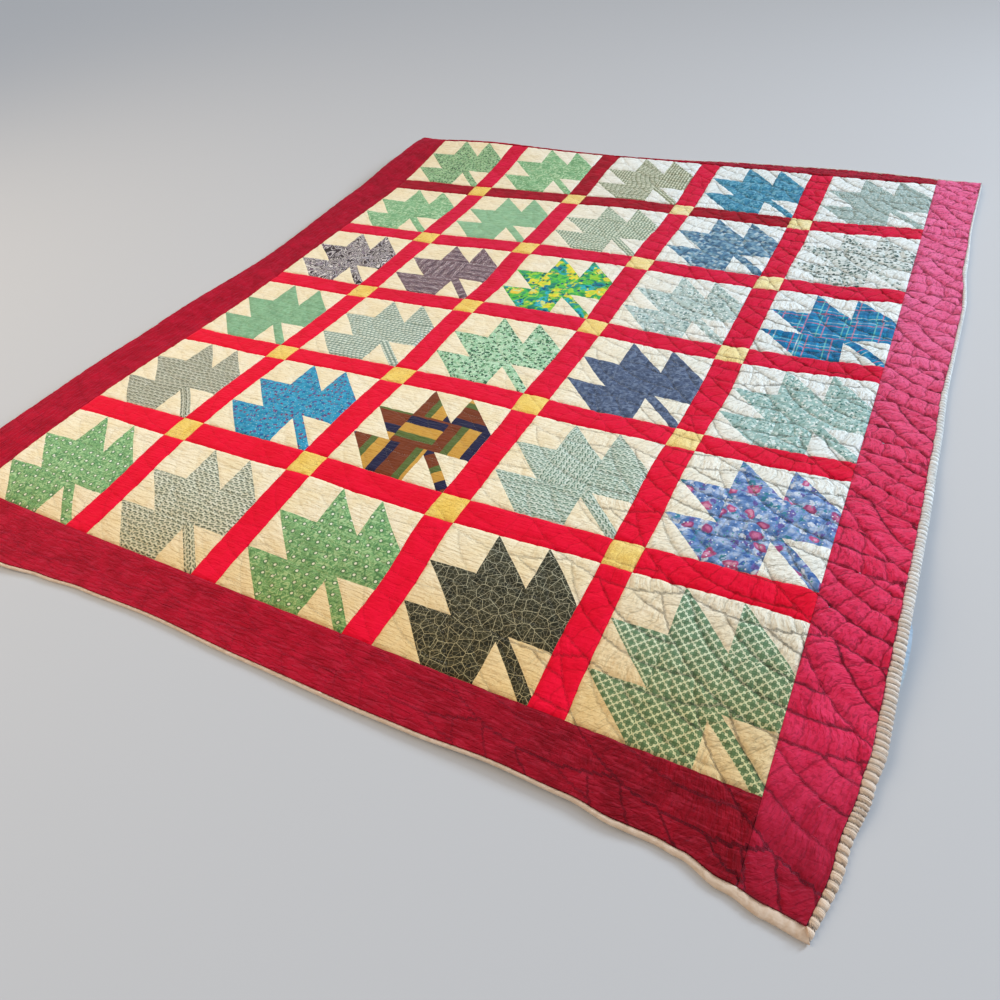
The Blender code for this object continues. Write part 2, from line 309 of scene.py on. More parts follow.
def topOf(a, b):
    # height of the quilted top above the underside
    away, angle, own, mark = nearestStitch(a, b)
    puff = 1 - np.exp(-(away / quilting["puffReach"]) ** quilting["puffShape"])
    along, band = alongArc(angle, own)
    lean = wobble(along / quilting["leanStep"], mark + band) - 0.5
    lean *= (own / quilting["spacing"] - band - 0.5) * quilting["lean"]
    folds = wobble(along / quilting["foldWidth"] + lean, mark + 7.7 * band) - 0.5
    left = quilting["foldLeft"]
    folds = folds * quilting["folds"] * (left + (1 - left) * np.exp(-away / quilting["foldReach"]))
    place = creasePlace(angle, own, mark)
    fromCrease = np.abs(place - np.round(place)) * quilting["creaseStep"]
    creases = quilting["creases"] * np.exp(-(fromCrease / quilting["creaseWidth"]) ** 2)
    sizeA, sizeB = quilting["crumpleSize"]
    ridged = 1 - np.abs(2 * ripple(a / sizeA + 0.5 * b / sizeA, b / sizeB, 3.3) - 1)
    crumple = quilting["crumple"] * (ridged - 0.5)
    strength = drawnIn(a, b)
    puffed = quilting["puff"] * (puff * strength + quilting["flat"] * (1 - strength))
    return cloth["stitchedTop"] + puffed + strength * (folds - creases + crumple) - seamDip(a, b)


def latticeMesh(name, aLines, bLines, topAt, materials, slotAt=None, uvAt=None, bottomStep=12):
    # a closed slab of cloth: a fine top, upright sides and a coarse underside
    aAll, bAll = np.meshgrid(aLines, bLines, indexing="ij")
    countA, countB = len(aLines) - 1, len(bLines) - 1
    top = layOut(aAll, bAll, topAt(aAll, bAll)).reshape(-1, 3)
    topIndex = np.arange(top.shape[0]).reshape(aAll.shape)
    coarseA = sorted(set(range(0, countA, bottomStep)) | {countA})
    coarseB = sorted(set(range(0, countB, bottomStep)) | {countB})
    needed = np.zeros(aAll.shape, bool)
    needed[[0, -1], :] = True
    needed[:, [0, -1]] = True
    needed[np.ix_(coarseA, coarseB)] = True
    lowIndex = np.full(aAll.shape, -1)
    lowIndex[needed] = len(top) + np.arange(needed.sum())
    bottom = layOut(aAll[needed], bAll[needed], cloth["filledBottom"])
    nearLeft, nearRight = topIndex[:-1, :-1], topIndex[1:, :-1]
    farLeft, farRight = topIndex[:-1, 1:], topIndex[1:, 1:]
    lower = np.stack((nearLeft, nearRight, farLeft), axis=-1).reshape(-1, 3)
    upper = np.stack((nearRight, farRight, farLeft), axis=-1).reshape(-1, 3)
    faces = lower.tolist() + upper.tolist()
    topFaces = len(faces)
    loop = [(i, 0) for i in range(countA)] + [(countA, j) for j in range(countB)]
    loop += [(i, countB) for i in range(countA, 0, -1)] + [(0, j) for j in range(countB, 0, -1)]
    for here, there in zip(loop, loop[1:] + loop[:1]):
        faces.append([int(lowIndex[here]), int(lowIndex[there]), int(topIndex[there]), int(topIndex[here])])
    for i, nextI in zip(coarseA, coarseA[1:]):
        for j, nextJ in zip(coarseB, coarseB[1:]):
            ring = [(k, j) for k in (range(i, nextI) if j == 0 else (i,))]
            ring += [(nextI, k) for k in (range(j, nextJ) if nextI == countA else (j,))]
            ring += [(k, nextJ) for k in (range(nextI, i, -1) if nextJ == countB else (nextI,))]
            ring += [(i, k) for k in (range(nextJ, j, -1) if i == 0 else (nextJ,))]
            faces.append([int(lowIndex[place]) for place in reversed(ring)])
    mesh = bpy.data.meshes.new(name)
    mesh.from_pydata(np.concatenate((top, bottom)).tolist(), [], faces)
    for material in materials:
        mesh.materials.append(material)
    flat = np.concatenate((np.stack((aAll, bAll), -1).reshape(-1, 2),
                           np.stack((aAll[needed], bAll[needed]), -1)))
    corners = cornerPoints(mesh)
    uv = flat[corners]
    if slotAt:
        cellI, cellJ = np.meshgrid(np.arange(countA), np.arange(countB), indexing="ij")
        cells = np.concatenate((np.stack((cellI, cellJ), -1).reshape(-1, 2),) * 2)
        late = np.repeat((0, 1), countA * countB)
        slots, patches = slotAt(cells[:, 0], cells[:, 1], late)
        plain = np.zeros(len(faces) - topFaces, int)
        mesh.polygons.foreach_set("material_index", np.concatenate((slots, plain)))
        uv[:topFaces * 3] = uvAt(uv[:topFaces * 3], np.repeat(patches, 3))
    addPlaces(mesh, uv, arcPlace(flat[:, 0], flat[:, 1])[corners])
    return finishMesh(name, mesh)


def cornerPoints(mesh):
    corners = np.zeros(len(mesh.loops), int)
    mesh.loops.foreach_get("vertex_index", corners)
    return corners


def addPlaces(mesh, flat, arcs):
    # two maps for the materials: the flat place on the cloth, and the place by the quilted arcs
    for layer, values in (("cloth", flat), ("quilted", arcs)):
        mesh.uv_layers.new(name=layer).data.foreach_set("uv", np.ascontiguousarray(values).ravel())


def addObject(name, data):
    added = bpy.data.objects.new(name, data)
    bpy.context.scene.collection.objects.link(added)
    return added


def finishMesh(name, mesh):
    mesh.validate()
    mesh.shade_smooth()
    mesh.set_sharp_from_angle(angle=math.radians(62))
    return addObject(name, mesh)


# Materials: every colour is given as seen on a screen, 0 to 255, and every pattern size in millimetres
def tone(colour):
    share = [value / 255 for value in colour]
    return [v / 12.92 if v <= 0.04045 else ((v + 0.055) / 1.055) ** 2.4 for v in share] + [1.0]


def put(tree, kind, inputs, outlet=0, **settings):
    node = tree.nodes.new("ShaderNode" + kind)
    for key, value in settings.items():
        setattr(node, key, value)
    for key, value in inputs.items():
        if isinstance(value, bpy.types.NodeSocket):
            tree.links.new(value, node.inputs[key])
        else:
            node.inputs[key].default_value = value
    return node.outputs[outlet]


def calc(tree, operation, *values):
    return put(tree, "Math", dict(enumerate(values)), operation=operation)


def mixTones(tree, share, first, second, how="MIX"):
    first, second = (tone(c) if isinstance(c, tuple) else c for c in (first, second))
    return put(tree, "MixRGB", {"Fac": share, "Color1": first, "Color2": second}, blend_type=how)


def ramp(tree, value, stops, hard=False):
    node = tree.nodes.new("ShaderNodeValToRGB")
    node.color_ramp.interpolation = "CONSTANT" if hard else "LINEAR"
    elements = node.color_ramp.elements
    elements.remove(elements[1])
    for index, (place, colour) in enumerate(stops):
        element = elements[0] if index == 0 else elements.new(place)
        element.position = place
        element.color = tone(colour)
    tree.links.new(value, node.inputs[0])
    return node.outputs[0]


def under(tree, value, limit, soft):
    # 1 where the value is under the limit, with a soft edge
    inputs = {"Value": value, "From Min": limit + soft, "From Max": limit - soft}
    return put(tree, "MapRange", inputs, interpolation_type="SMOOTHSTEP")


def sized(tree, place, size, turn=0.0, stretch=1.0):
    # the place in units of size millimetres
    scale = (1000 / size, 1000 / (size * stretch), 1.0)
    return put(tree, "Mapping", {"Vector": place, "Scale": scale, "Rotation": (0.0, 0.0, turn)})


def scaled(tree, place, scale):
    return put(tree, "Mapping", {"Vector": place, "Scale": scale})


def split(tree, place):
    node = tree.nodes.new("ShaderNodeSeparateXYZ")
    tree.links.new(place, node.inputs[0])
    return node.outputs[0], node.outputs[1]


def noise(tree, place, detail=2.0, distortion=0.0, outlet=0):
    inputs = {"Vector": place, "Scale": 1.0, "Detail": detail, "Distortion": distortion}
    return put(tree, "TexNoise", inputs, outlet=outlet, noise_dimensions="2D")


def cloud(tree, place, size, detail=2.0, distortion=0.0, turn=0.0, stretch=1.0):
    return noise(tree, sized(tree, place, size, turn, stretch), detail, distortion)


def product(tree, first, second):
    return calc(tree, "MULTIPLY", first, second)


def fromMiddle(tree, value, middle=0.5):
    # how far the value's part after the point is from the middle, with its sign
    return calc(tree, "SUBTRACT", calc(tree, "FRACT", value), middle)


def apart(tree, value, middle=0.5):
    return calc(tree, "ABSOLUTE", fromMiddle(tree, value, middle))


def distance(tree, x, y):
    return calc(tree, "SQRT", calc(tree, "ADD", product(tree, x, x), product(tree, y, y)))


def bumped(tree, depth, height, below=None, strength=1.0):
    inputs = {"Strength": strength, "Distance": depth, "Height": height}
    if below:
        inputs["Normal"] = below
    return put(tree, "Bump", inputs, outlet="Normal")


def newMaterial(name, roughness, specular):
    material = bpy.data.materials.new(name)
    material.use_nodes = True
    shader = material.node_tree.nodes["Principled BSDF"]
    shader.inputs["Roughness"].default_value = roughness
    shader.inputs["Specular IOR Level"].default_value = specular
    return material, material.node_tree, shader


def mottled(tree, place, look):
    tones = look["ground"]
    share = cloud(tree, place, look.get("mottle", 16), 3.0, look.get("swirl", 0.3), 0.3,
                  look.get("stretch", 1.0))
    stops = [(0.34 + 0.32 * index / (len(tones) - 1), colour) for index, colour in enumerate(tones)]
    return ramp(tree, share, stops)


def scattered(tree, place, look):
    # small motifs strewn over the ground, layer over layer
    colour = mottled(tree, place, look)
    for layer in look["layers"]:
        bent = place
        if layer.get("bend"):
            wave = noise(tree, sized(tree, place, layer["size"] * 0.6), 1.0, outlet="Color")
            amount = layer["bend"] * layer["size"] / 1000
            pushed = put(tree, "VectorMath", {0: wave, 1: (amount,) * 3}, operation="MULTIPLY")
            bent = put(tree, "VectorMath", {0: place, 1: pushed}, operation="ADD")
        node = tree.nodes.new("ShaderNodeTexVoronoi")
        node.voronoi_dimensions = "2D"
        tree.links.new(sized(tree, bent, layer["size"]), node.inputs["Vector"])
        node.inputs["Scale"].default_value = 1.0
        red, green = split(tree, node.outputs["Color"])
        mark = under(tree, node.outputs["Distance"], layer["radius"], layer.get("soft", 0.05))
        mark = product(tree, mark, under(tree, green, layer.get("share", 1.0), 0.001))
        tones = layer["tones"]
        fill = ramp(tree, red, [(index / len(tones), c) for index, c in enumerate(tones)], hard=True)
        colour = mixTones(tree, mark, colour, fill)
    return colour


def dashRows(tree, place, look):
    # rows of short dashes in two tones, straight or in a zigzag
    colour = mottled(tree, place, look)
    x, y = split(tree, sized(tree, place, 1.0))
    sway = calc(tree, "PINGPONG", calc(tree, "DIVIDE", x, look.get("zigLength", 9.0)), 0.5)
    level = calc(tree, "ADD", calc(tree, "DIVIDE", y, look["rowPitch"]),
                 product(tree, sway, look.get("zigzag", 0.0)))
    row = calc(tree, "FLOOR", level)
    offset = put(tree, "TexWhiteNoise", {"W": row}, noise_dimensions="1D")
    for lane, dashTone in ((0.72, look["shadow"]), (0.32, look["mark"])):
        across = apart(tree, level, lane)
        place = calc(tree, "ADD", calc(tree, "DIVIDE", x, look["dash"]), calc(tree, "ADD", offset, lane))
        inDash = under(tree, apart(tree, place), look["fill"] / 2, 0.06)
        inRow = under(tree, across, look["thick"] / 2, 0.08)
        colour = mixTones(tree, product(tree, inRow, inDash), colour, dashTone)
    return colour


def dottedRows(tree, place, look):
    # ringed dots in rows, each row half a step on, the outer ring first
    colour = mottled(tree, place, look)
    x, y = split(tree, sized(tree, place, look["pitch"]))
    x = calc(tree, "ADD", x, product(tree, calc(tree, "FLOOR", y), 0.5))
    away = distance(tree, fromMiddle(tree, x), fromMiddle(tree, y))
    for radius, ringTone in look["rings"]:
        colour = mixTones(tree, under(tree, away, radius, 0.04), colour, ringTone)
    return colour


def striped(tree, place, look):
    x, y = split(tree, sized(tree, place, look["repeat"]))
    streak = cloud(tree, place, look["streak"], 1.0, stretch=9.0)
    if look.get("uneven"):
        x = calc(tree, "ADD", x, product(tree, calc(tree, "SUBTRACT", streak, 0.5), look["uneven"]))
    colour = ramp(tree, calc(tree, "FRACT", x), look["stops"], hard=True)
    worn = ramp(tree, streak, ((0.3, (150,) * 3), (0.7, (215,) * 3)))
    return mixTones(tree, look["worn"], colour, worn, "OVERLAY")


def plaid(tree, place, look):
    x, y = split(tree, sized(tree, place, look["repeat"]))
    colour = mottled(tree, place, look)
    for way, key in ((x, "down"), (y, "over")):
        for centre, width, bandTone, strength in look[key]:
            mark = product(tree, under(tree, apart(tree, way, centre), width, 0.008), strength)
            colour = mixTones(tree, mark, colour, bandTone)
    return colour


def swirled(tree, place, look):
    # curling shapes: the height lines of a soft noise
    height = cloud(tree, place, look["size"], 1.0, look["curl"])
    level = calc(tree, "FRACT", product(tree, height, look["bands"]))
    return ramp(tree, level, look["stops"], hard=True)


def quatrefoils(tree, place, look):
    # four-lobed motifs with pale hearts on a diagonal lattice
    x, y = split(tree, sized(tree, place, look["pitch"], math.radians(45)))
    fromX, fromY = apart(tree, x), apart(tree, y)
    lobe = look["lobe"]
    toLobes = distance(tree, calc(tree, "SUBTRACT", fromX, lobe), calc(tree, "SUBTRACT", fromY, lobe))
    shape = calc(tree, "MAXIMUM", under(tree, toLobes, lobe * 0.78, 0.02),
                 under(tree, distance(tree, fromX, fromY), lobe * 1.30, 0.02))
    colour = mixTones(tree, shape, look["ground"][0], look["mark"])
    return mixTones(tree, under(tree, toLobes, lobe * 0.36, 0.04), colour, look["heart"])


def crackled(tree, place, look):
    # fine pale veins over a dark ground, at two sizes
    colour = mottled(tree, place, look)
    for size, width, strength in look["veins"]:
        inputs = {"Vector": sized(tree, place, size), "Scale": 1.0}
        edge = put(tree, "TexVoronoi", inputs, feature="DISTANCE_TO_EDGE", voronoi_dimensions="2D")
        mark = product(tree, under(tree, edge, width, width * 0.5), strength)
        colour = mixTones(tree, mark, colour, look["vein"])
    return colour


def checked(tree, place, look):
    # small squares, each of its own tint
    spot = put(tree, "VectorMath", {0: sized(tree, place, look["size"], 0.4)}, operation="FLOOR")
    random = put(tree, "TexWhiteNoise", {"Vector": spot}, noise_dimensions="2D")
    return mixTones(tree, 0.35, ramp(tree, random, look["stops"]), mottled(tree, place, look))


weave = {
    "thread": 0.9,  # millimetres between threads, drawn a little coarse
    "threadBump": 0.00004,
    "crinkle": 7.0,
    "crinkleBump": 0.0007,
    "ladder": (6.2, 2.2, 1.0),  # fine wrinkles square to the quilting: count in a crease step, and in a band
    "ladderBump": 0.0022,
    "paintedGroove": (0.045, 0.0372),  # width share of the painted shade line in a quilted groove, and in a crease
    "grooveShade": (0.70, 0.62),
    "grooveShake": (9.0, 0.22),  # size in millimetres, and strength
    # small puckers in painted shade: count in a crease step, and in a band
    "pucker": (7.0, 5.2, 1.0),
    "puckerShade": 0.30,
    "drawn": ((0.95, 0.25), -0.10, 0.60),  # direction, start and end of the rise of the quilting's strength
    "drawnShade": (0.88, 0.12),  # these shares: what grows with that strength, and what is always there
    "drawnLadder": (0.85, 0.15),
    "drawnWrinkle": (-0.8, 1.0),
    "calmShade": (0.6, 0.4),
    "wrinkle": (38.0, 210.0, 1.0),  # fine long wrinkles where the quilting is weak: count in a metre each way
    "wrinkleBump": 0.95,
    "streak": (0.41, 0.08, 0.32),  # limit, softness and strength of the painted sheen streaks along the borders' wrinkles
    "faded": (45.0, (0.3, (178,) * 3), (0.7, (198,) * 3)),
    "paintedNearShade": ((0.12, -1.0), 0.60, 0.88),  # direction, start and end of the painted warm shade at the near edge
    "nearShadeTone": (240, 217, 178),
    "roughness": 0.88,
    "specular": 0.15,
    "sheen": 0.12,
    "sheenRoughness": 0.45,
    "sheenTint": (255, 250, 245),
}


def towards(tree, way, low, high):
    # 0 to 1 across the laid-out cloth, in the given direction
    laid = put(tree, "TexCoord", {}, outlet="Object")
    along = put(tree, "VectorMath", {0: laid, 1: (*way, 0.0)}, outlet="Value", operation="DOT_PRODUCT")
    inputs = {"Value": along, "From Min": low, "From Max": high}
    return put(tree, "MapRange", inputs, interpolation_type="SMOOTHSTEP")


def paintedLightShift(tree, place, look):
    # painted light and shade: one tone that turns into another across the cloth, as the light on it does
    share = towards(tree, *look["shift"])
    return mixTones(tree, share, mottled(tree, place, look["first"]), mottled(tree, place, look["last"]))


def shareOf(tree, value, key):
    return calc(tree, "MULTIPLY_ADD", value, *weave[key])


def grooveShade(tree, arcs, place, crinkle, wide):
    # painted shade: how dark to paint the quilted grooves, the creases across the bands and the small
    # puckers, as they lie in shade
    x, y = split(tree, arcs)
    size, strength = weave["grooveShake"]
    shake = product(tree, calc(tree, "SUBTRACT", cloud(tree, place, size), 0.5), strength)
    shade = product(tree, under(tree, noise(tree, scaled(tree, arcs, weave["pucker"]), 1.0, 0.6), 0.40, 0.07),
                    weave["puckerShade"] * crinkle)
    for way, width, strength in zip((y, x), weave["paintedGroove"], weave["grooveShade"]):
        away = apart(tree, calc(tree, "ADD", calc(tree, "ADD", way, shake), 0.5))
        line = product(tree, under(tree, away, width * wide, width * wide), strength)
        shade = calc(tree, "MAXIMUM", shade, line)
    return shade


# the last argument is the tone of the painted shade in the quilted grooves
def clothMaterial(name, pattern, look, crinkle=1.0, paintedShadeTone=(186, 180, 172)):
    material, tree, shader = newMaterial(name, weave["roughness"], weave["specular"])
    place = put(tree, "UVMap", {}, uv_map="cloth")
    arcs = put(tree, "UVMap", {}, uv_map="quilted")
    laid = put(tree, "TexCoord", {}, outlet="Object")
    size, *stops = weave["faded"]
    worn = ramp(tree, cloud(tree, place, size, 3.0), stops)
    colour = mixTones(tree, look.get("fade", 0.6), pattern(tree, place, look), worn, "OVERLAY")
    pulled = towards(tree, *weave["drawn"])
    streak = noise(tree, scaled(tree, laid, look.get("wrinkle", weave["wrinkle"])), 2.0, 0.5)
    # painted sheen along the long wrinkles of the borders
    if look.get("paintedStreakSheen"):
        limit, soft, strength = weave["streak"]
        colour = mixTones(tree, product(tree, under(tree, streak, limit, soft), strength), colour,
                          look["paintedStreakSheen"])
    # otherwise, painted warm shade towards the near edge
    elif look.get("paintedNearShade", True):
        colour = mixTones(tree, towards(tree, *weave["paintedNearShade"]), colour, weave["nearShadeTone"], "MULTIPLY")
    # painted shade in the quilted grooves, creases and puckers, the stronger where the quilting draws the
    # cloth in
    if paintedShadeTone:
        shade = product(tree, grooveShade(tree, arcs, place, crinkle, look.get("wide", 1.0)),
                        shareOf(tree, pulled, "drawnShade"))
        # less painted groove shade towards the near end
        if look.get("calmer"):
            shade = product(tree, shade, shareOf(tree, towards(tree, *look["calmer"]), "calmShade"))
        colour = mixTones(tree, shade, colour, paintedShadeTone, "MULTIPLY")
    tree.links.new(colour, shader.inputs["Base Color"])
    shader.inputs["Sheen Weight"].default_value = look.get("sheen", weave["sheen"])
    shader.inputs["Sheen Roughness"].default_value = weave["sheenRoughness"]
    shader.inputs["Sheen Tint"].default_value = tone(look.get("sheenTint", weave["sheenTint"]))
    ladder = noise(tree, scaled(tree, arcs, weave["ladder"]), 2.0, 0.4)
    fine = product(tree, product(tree, streak, shareOf(tree, pulled, "drawnWrinkle")), weave["wrinkleBump"])
    wrinkles = calc(tree, "ADD", product(tree, ladder, shareOf(tree, pulled, "drawnLadder")), fine)
    small = cloud(tree, place, weave["crinkle"], 3.0, 0.6)
    threads = put(tree, "TexVoronoi", {"Vector": sized(tree, place, weave["thread"]), "Scale": 1.0,
                                       "Randomness": 0.3}, voronoi_dimensions="2D")
    normal = bumped(tree, weave["ladderBump"] * crinkle, wrinkles)
    normal = bumped(tree, weave["crinkleBump"] * crinkle, small, normal)
    normal = bumped(tree, weave["threadBump"], threads, normal)
    tree.links.new(normal, shader.inputs["Normal"])
    return material


print("materials")
# painted light: the cream warm-lit at the near left and cool in daylight at the far right
creamLook = {"first": {"ground": ((246, 228, 188), (250, 236, 204)), "mottle": 60},
             "last": {"ground": ((232, 240, 240), (242, 248, 248)), "mottle": 60},
             "shift": ((0.85, 0.5), -0.08, 0.55), "fade": 0.35}
creamPatch = clothMaterial("creamCotton", paintedLightShift, creamLook, 1.35, paintedShadeTone=(172, 170, 164))

prints = {
    "sageFloral": (scattered, {"ground": ((134, 176, 128), (160, 198, 148)), "layers": (
        {"size": 8.0, "radius": 0.34, "share": 0.7, "tones": ((66, 104, 74), (92, 134, 92)), "bend": 0.6},
        {"size": 9.0, "radius": 0.13, "tones": ((222, 232, 200), (196, 216, 176))})}),
    "greenSwirl": (mottled, {"ground": ((112, 164, 116), (136, 186, 136), (186, 216, 172)), "mottle": 15,
                             "swirl": 1.8}),
    "oliveDash": (dashRows, {"ground": ((146, 156, 128), (168, 176, 148)), "mark": (222, 224, 202),
                             "rowPitch": 8.0, "dash": 13.0, "thick": 0.42, "fill": 0.7,
                             "shadow": (124, 132, 108)}),
    "tealMottle": (mottled, {"ground": ((40, 112, 148), (62, 140, 172), (116, 178, 202)), "mottle": 12,
                             "swirl": 1.2}),
    "mistStreak": (mottled, {"ground": ((116, 148, 148), (158, 182, 178), (214, 226, 222)), "mottle": 7,
                             "stretch": 0.25}),
    "plainSage": (mottled, {"ground": ((138, 184, 144), (150, 194, 152)), "mottle": 26}),
    "mistDash": (dashRows, {"ground": ((148, 168, 144), (168, 186, 160)), "mark": (226, 230, 210),
                            "rowPitch": 8.5, "dash": 9.0, "thick": 0.44, "fill": 0.68, "zigzag": 0.5,
                            "zigLength": 12.0, "shadow": (122, 142, 122)}),
    "blueChecks": (checked, {"ground": ((78, 124, 158), (116, 158, 184)), "size": 7.0, "stops": (
        (0.1, (44, 82, 120)), (0.45, (88, 136, 168)), (0.8, (150, 184, 198)), (0.95, (206, 222, 224)))}),
    "frostSpeckle": (scattered, {"ground": ((206, 218, 216), (228, 236, 234)), "layers": (
        {"size": 8.0, "radius": 0.38, "share": 0.68, "bend": 0.9, "tones": (
            (74, 98, 96), (126, 148, 144))},)}),
    "plumPaisley": (swirled, {"size": 44.0, "bands": 3.6, "curl": 2.0, "stops": (
        (0.0, (58, 44, 48)), (0.24, (226, 220, 214)), (0.40, (108, 84, 100)), (0.54, (176, 172, 178)),
        (0.66, (52, 40, 44)), (0.86, (224, 216, 212)))}),
    "mauveStreak": (striped, {"repeat": 22.0, "uneven": 0.8, "worn": 0.4, "streak": 2.2, "stops": (
        (0.0, (132, 106, 112)), (0.2, (98, 78, 88)), (0.34, (196, 180, 180)), (0.44, (116, 92, 102)),
        (0.66, (172, 152, 156)), (0.78, (88, 70, 80)))}),
    "brightMottle": (scattered, {"ground": ((28, 132, 112), (66, 186, 84), (160, 214, 62)), "mottle": 20,
                                 "swirl": 1.0, "layers": (
        {"size": 26.0, "radius": 0.52, "soft": 0.10, "bend": 0.8, "share": 0.75, "tones": (
            (238, 220, 58), (22, 146, 152), (98, 200, 70), (40, 178, 190), (240, 206, 70))},
        {"size": 26.0, "radius": 0.24, "soft": 0.08, "bend": 0.8, "share": 0.75, "tones": (
            (196, 220, 70), (14, 96, 130), (30, 150, 84), (216, 232, 150))},
        {"size": 11.0, "radius": 0.30, "soft": 0.08, "bend": 1.0, "share": 0.34, "tones": (
            (14, 78, 70), (24, 72, 128), (228, 224, 90))})}),
    "aquaSpeckle": (scattered, {"ground": ((176, 198, 194), (198, 216, 210)), "layers": (
        {"size": 9.0, "radius": 0.34, "share": 0.6, "tones": ((112, 140, 138), (138, 164, 162)), "bend": 0.9},
        {"size": 8.0, "radius": 0.24, "share": 0.6, "tones": ((238, 244, 242),), "bend": 0.9})}),
    "bluePlaid": (plaid, {"ground": ((8, 124, 176), (28, 146, 196)), "repeat": 46.0, "down": (
        (0.25, 0.13, (20, 70, 128), 0.5), (0.56, 0.030, (214, 110, 136), 0.8),
        (0.80, 0.026, (206, 230, 226), 0.7)),
        "over": ((0.3, 0.12, (12, 92, 146), 0.45), (0.62, 0.026, (214, 124, 146), 0.65),
                 (0.86, 0.026, (120, 206, 196), 0.7))}),
    "softGreen": (mottled, {"ground": ((122, 168, 128), (144, 188, 146)), "mottle": 12, "swirl": 1.0}),
    "greyDash": (dashRows, {"ground": ((150, 168, 152), (170, 186, 168)), "mark": (222, 228, 212),
                            "rowPitch": 8.0, "dash": 10.0, "thick": 0.44, "fill": 0.66,
                            "shadow": (124, 144, 130)}),
    "leafSpeckle": (scattered, {"ground": ((154, 202, 162), (190, 224, 188)), "layers": (
        {"size": 9.0, "radius": 0.36, "share": 0.76, "tones": ((50, 96, 70), (88, 138, 98)), "bend": 0.9},
        {"size": 8.0, "radius": 0.14, "tones": ((236, 244, 224),)})}),
    "denim": (mottled, {"ground": ((64, 78, 106), (82, 98, 128), (110, 126, 152)), "mottle": 8,
                        "swirl": 0.6}),
    "tealDash": (scattered, {"ground": ((140, 178, 172), (172, 202, 198)), "mottle": 8, "layers": (
        {"size": 9.0, "radius": 0.32, "share": 0.75, "bend": 0.9, "tones": (
            (226, 238, 234), (204, 224, 218))},
        {"size": 7.0, "radius": 0.24, "share": 0.5, "bend": 0.9, "tones": (
            (72, 124, 120), (96, 140, 136))})}),
    "oliveRows": (dashRows, {"ground": ((194, 194, 172), (208, 206, 186)), "mark": (140, 142, 120),
                             "rowPitch": 9.0, "dash": 14.0, "thick": 0.30, "fill": 0.82, "zigzag": 0.3,
                             "zigLength": 14.0, "shadow": (98, 102, 84)}),
    "turquoiseDitsy": (scattered, {"ground": ((34, 138, 178), (62, 164, 200)), "mottle": 10, "layers": (
        {"size": 11.0, "radius": 0.27, "share": 0.75, "tones": ((96, 78, 140), (120, 66, 112), (40, 92, 148)),
         "bend": 0.8},
        {"size": 7.0, "radius": 0.13, "share": 0.6, "tones": ((150, 208, 216), (190, 206, 190))})}),
    "broadStripe": (striped, {"repeat": 94.0, "streak": 1.6, "worn": 0.15, "stops": (
        (0.0, (206, 154, 66)), (0.26, (36, 36, 68)), (0.48, (122, 58, 30)), (0.84, (92, 108, 54)))}),
    "zigzagDash": (dashRows, {"ground": ((200, 214, 198), (214, 224, 210)), "mark": (136, 162, 144),
                              "rowPitch": 9.0, "dash": 12.0, "thick": 0.28, "fill": 0.76, "zigzag": 0.5,
                              "zigLength": 11.0, "shadow": (92, 124, 106)}),
    "roseField": (scattered, {"ground": ((78, 116, 172), (118, 150, 200), (176, 194, 222)), "mottle": 14,
                              "layers": (
        {"size": 12.0, "radius": 0.38, "share": 0.55, "bend": 1.0, "soft": 0.1, "tones": (
            (104, 96, 164), (60, 130, 156), (206, 216, 232), (66, 104, 168))},
        {"size": 40.0, "radius": 0.22, "share": 0.85, "bend": 0.5, "soft": 0.03, "tones": (
            (186, 84, 132), (160, 72, 124))},
        {"size": 40.0, "radius": 0.11, "share": 0.85, "bend": 0.5, "soft": 0.05, "tones": (
            (222, 152, 182), (206, 118, 160))},
        {"size": 8.0, "radius": 0.15, "share": 0.5, "tones": ((222, 228, 238), (84, 160, 152))})}),
    "ringedDots": (dottedRows, {"ground": ((92, 142, 92), (128, 178, 118), (176, 210, 156)), "mottle": 9,
                                "swirl": 1.6, "pitch": 19.0,
                                "rings": ((0.21, (74, 120, 76)), (0.12, (238, 244, 222)))}),
    "heatherRows": (dashRows, {"ground": ((214, 214, 190), (226, 226, 206)), "mark": (132, 140, 118),
                               "rowPitch": 9.0, "dash": 13.0, "thick": 0.30, "fill": 0.72, "zigzag": 0.5,
                               "zigLength": 12.0, "shadow": (94, 104, 86)}),
    "crackleVein": (crackled, {"ground": ((42, 44, 34), (70, 70, 54)), "mottle": 16, "vein": (206, 204, 178),
                               "veins": ((17.0, 0.020, 0.85), (7.0, 0.034, 0.5))}),
    "quatrefoil": (quatrefoils, {"ground": ((222, 240, 218),), "mark": (104, 142, 114),
                                 "heart": (146, 176, 150), "pitch": 11.5, "lobe": 0.250}),
}
leafPrints = (  # far row first, left to right
    ("sageFloral", "greenSwirl", "oliveDash", "tealMottle", "mistStreak"),
    ("greenSwirl", "plainSage", "mistDash", "blueChecks", "frostSpeckle"),
    ("plumPaisley", "mauveStreak", "brightMottle", "aquaSpeckle", "bluePlaid"),
    ("softGreen", "greyDash", "leafSpeckle", "denim", "tealDash"),
    ("oliveRows", "turquoiseDitsy", "broadStripe", "zigzagDash", "roseField"),
    ("ringedDots", "heatherRows", "ringedDots", "crackleVein", "quatrefoil"),
)
printMaterials = {name: clothMaterial(name + "Cotton", *printed) for name, printed in prints.items()}

# Blocks: nine squares each, the leaf's triangles cut on the same diagonal, and a strip for its stem
leafBlock = {
    "cells": 24,  # mesh steps in one of the nine squares
    "stemSteps": 4,
    "patchTurns": {  # degrees by patch, for prints that aren't turned at random
        "broadStripe": {2: 90, 3: 90, 4: 90, 9: -45}, "zigzagDash": {1: 90, 4: 90, 9: -45},
        "heatherRows": {9: -45}, "oliveRows": {9: -45}, "greyDash": {9: -45}, "plainSage": {},
        "quatrefoil": {}, "ringedDots": {}, "crackleVein": {}},
}


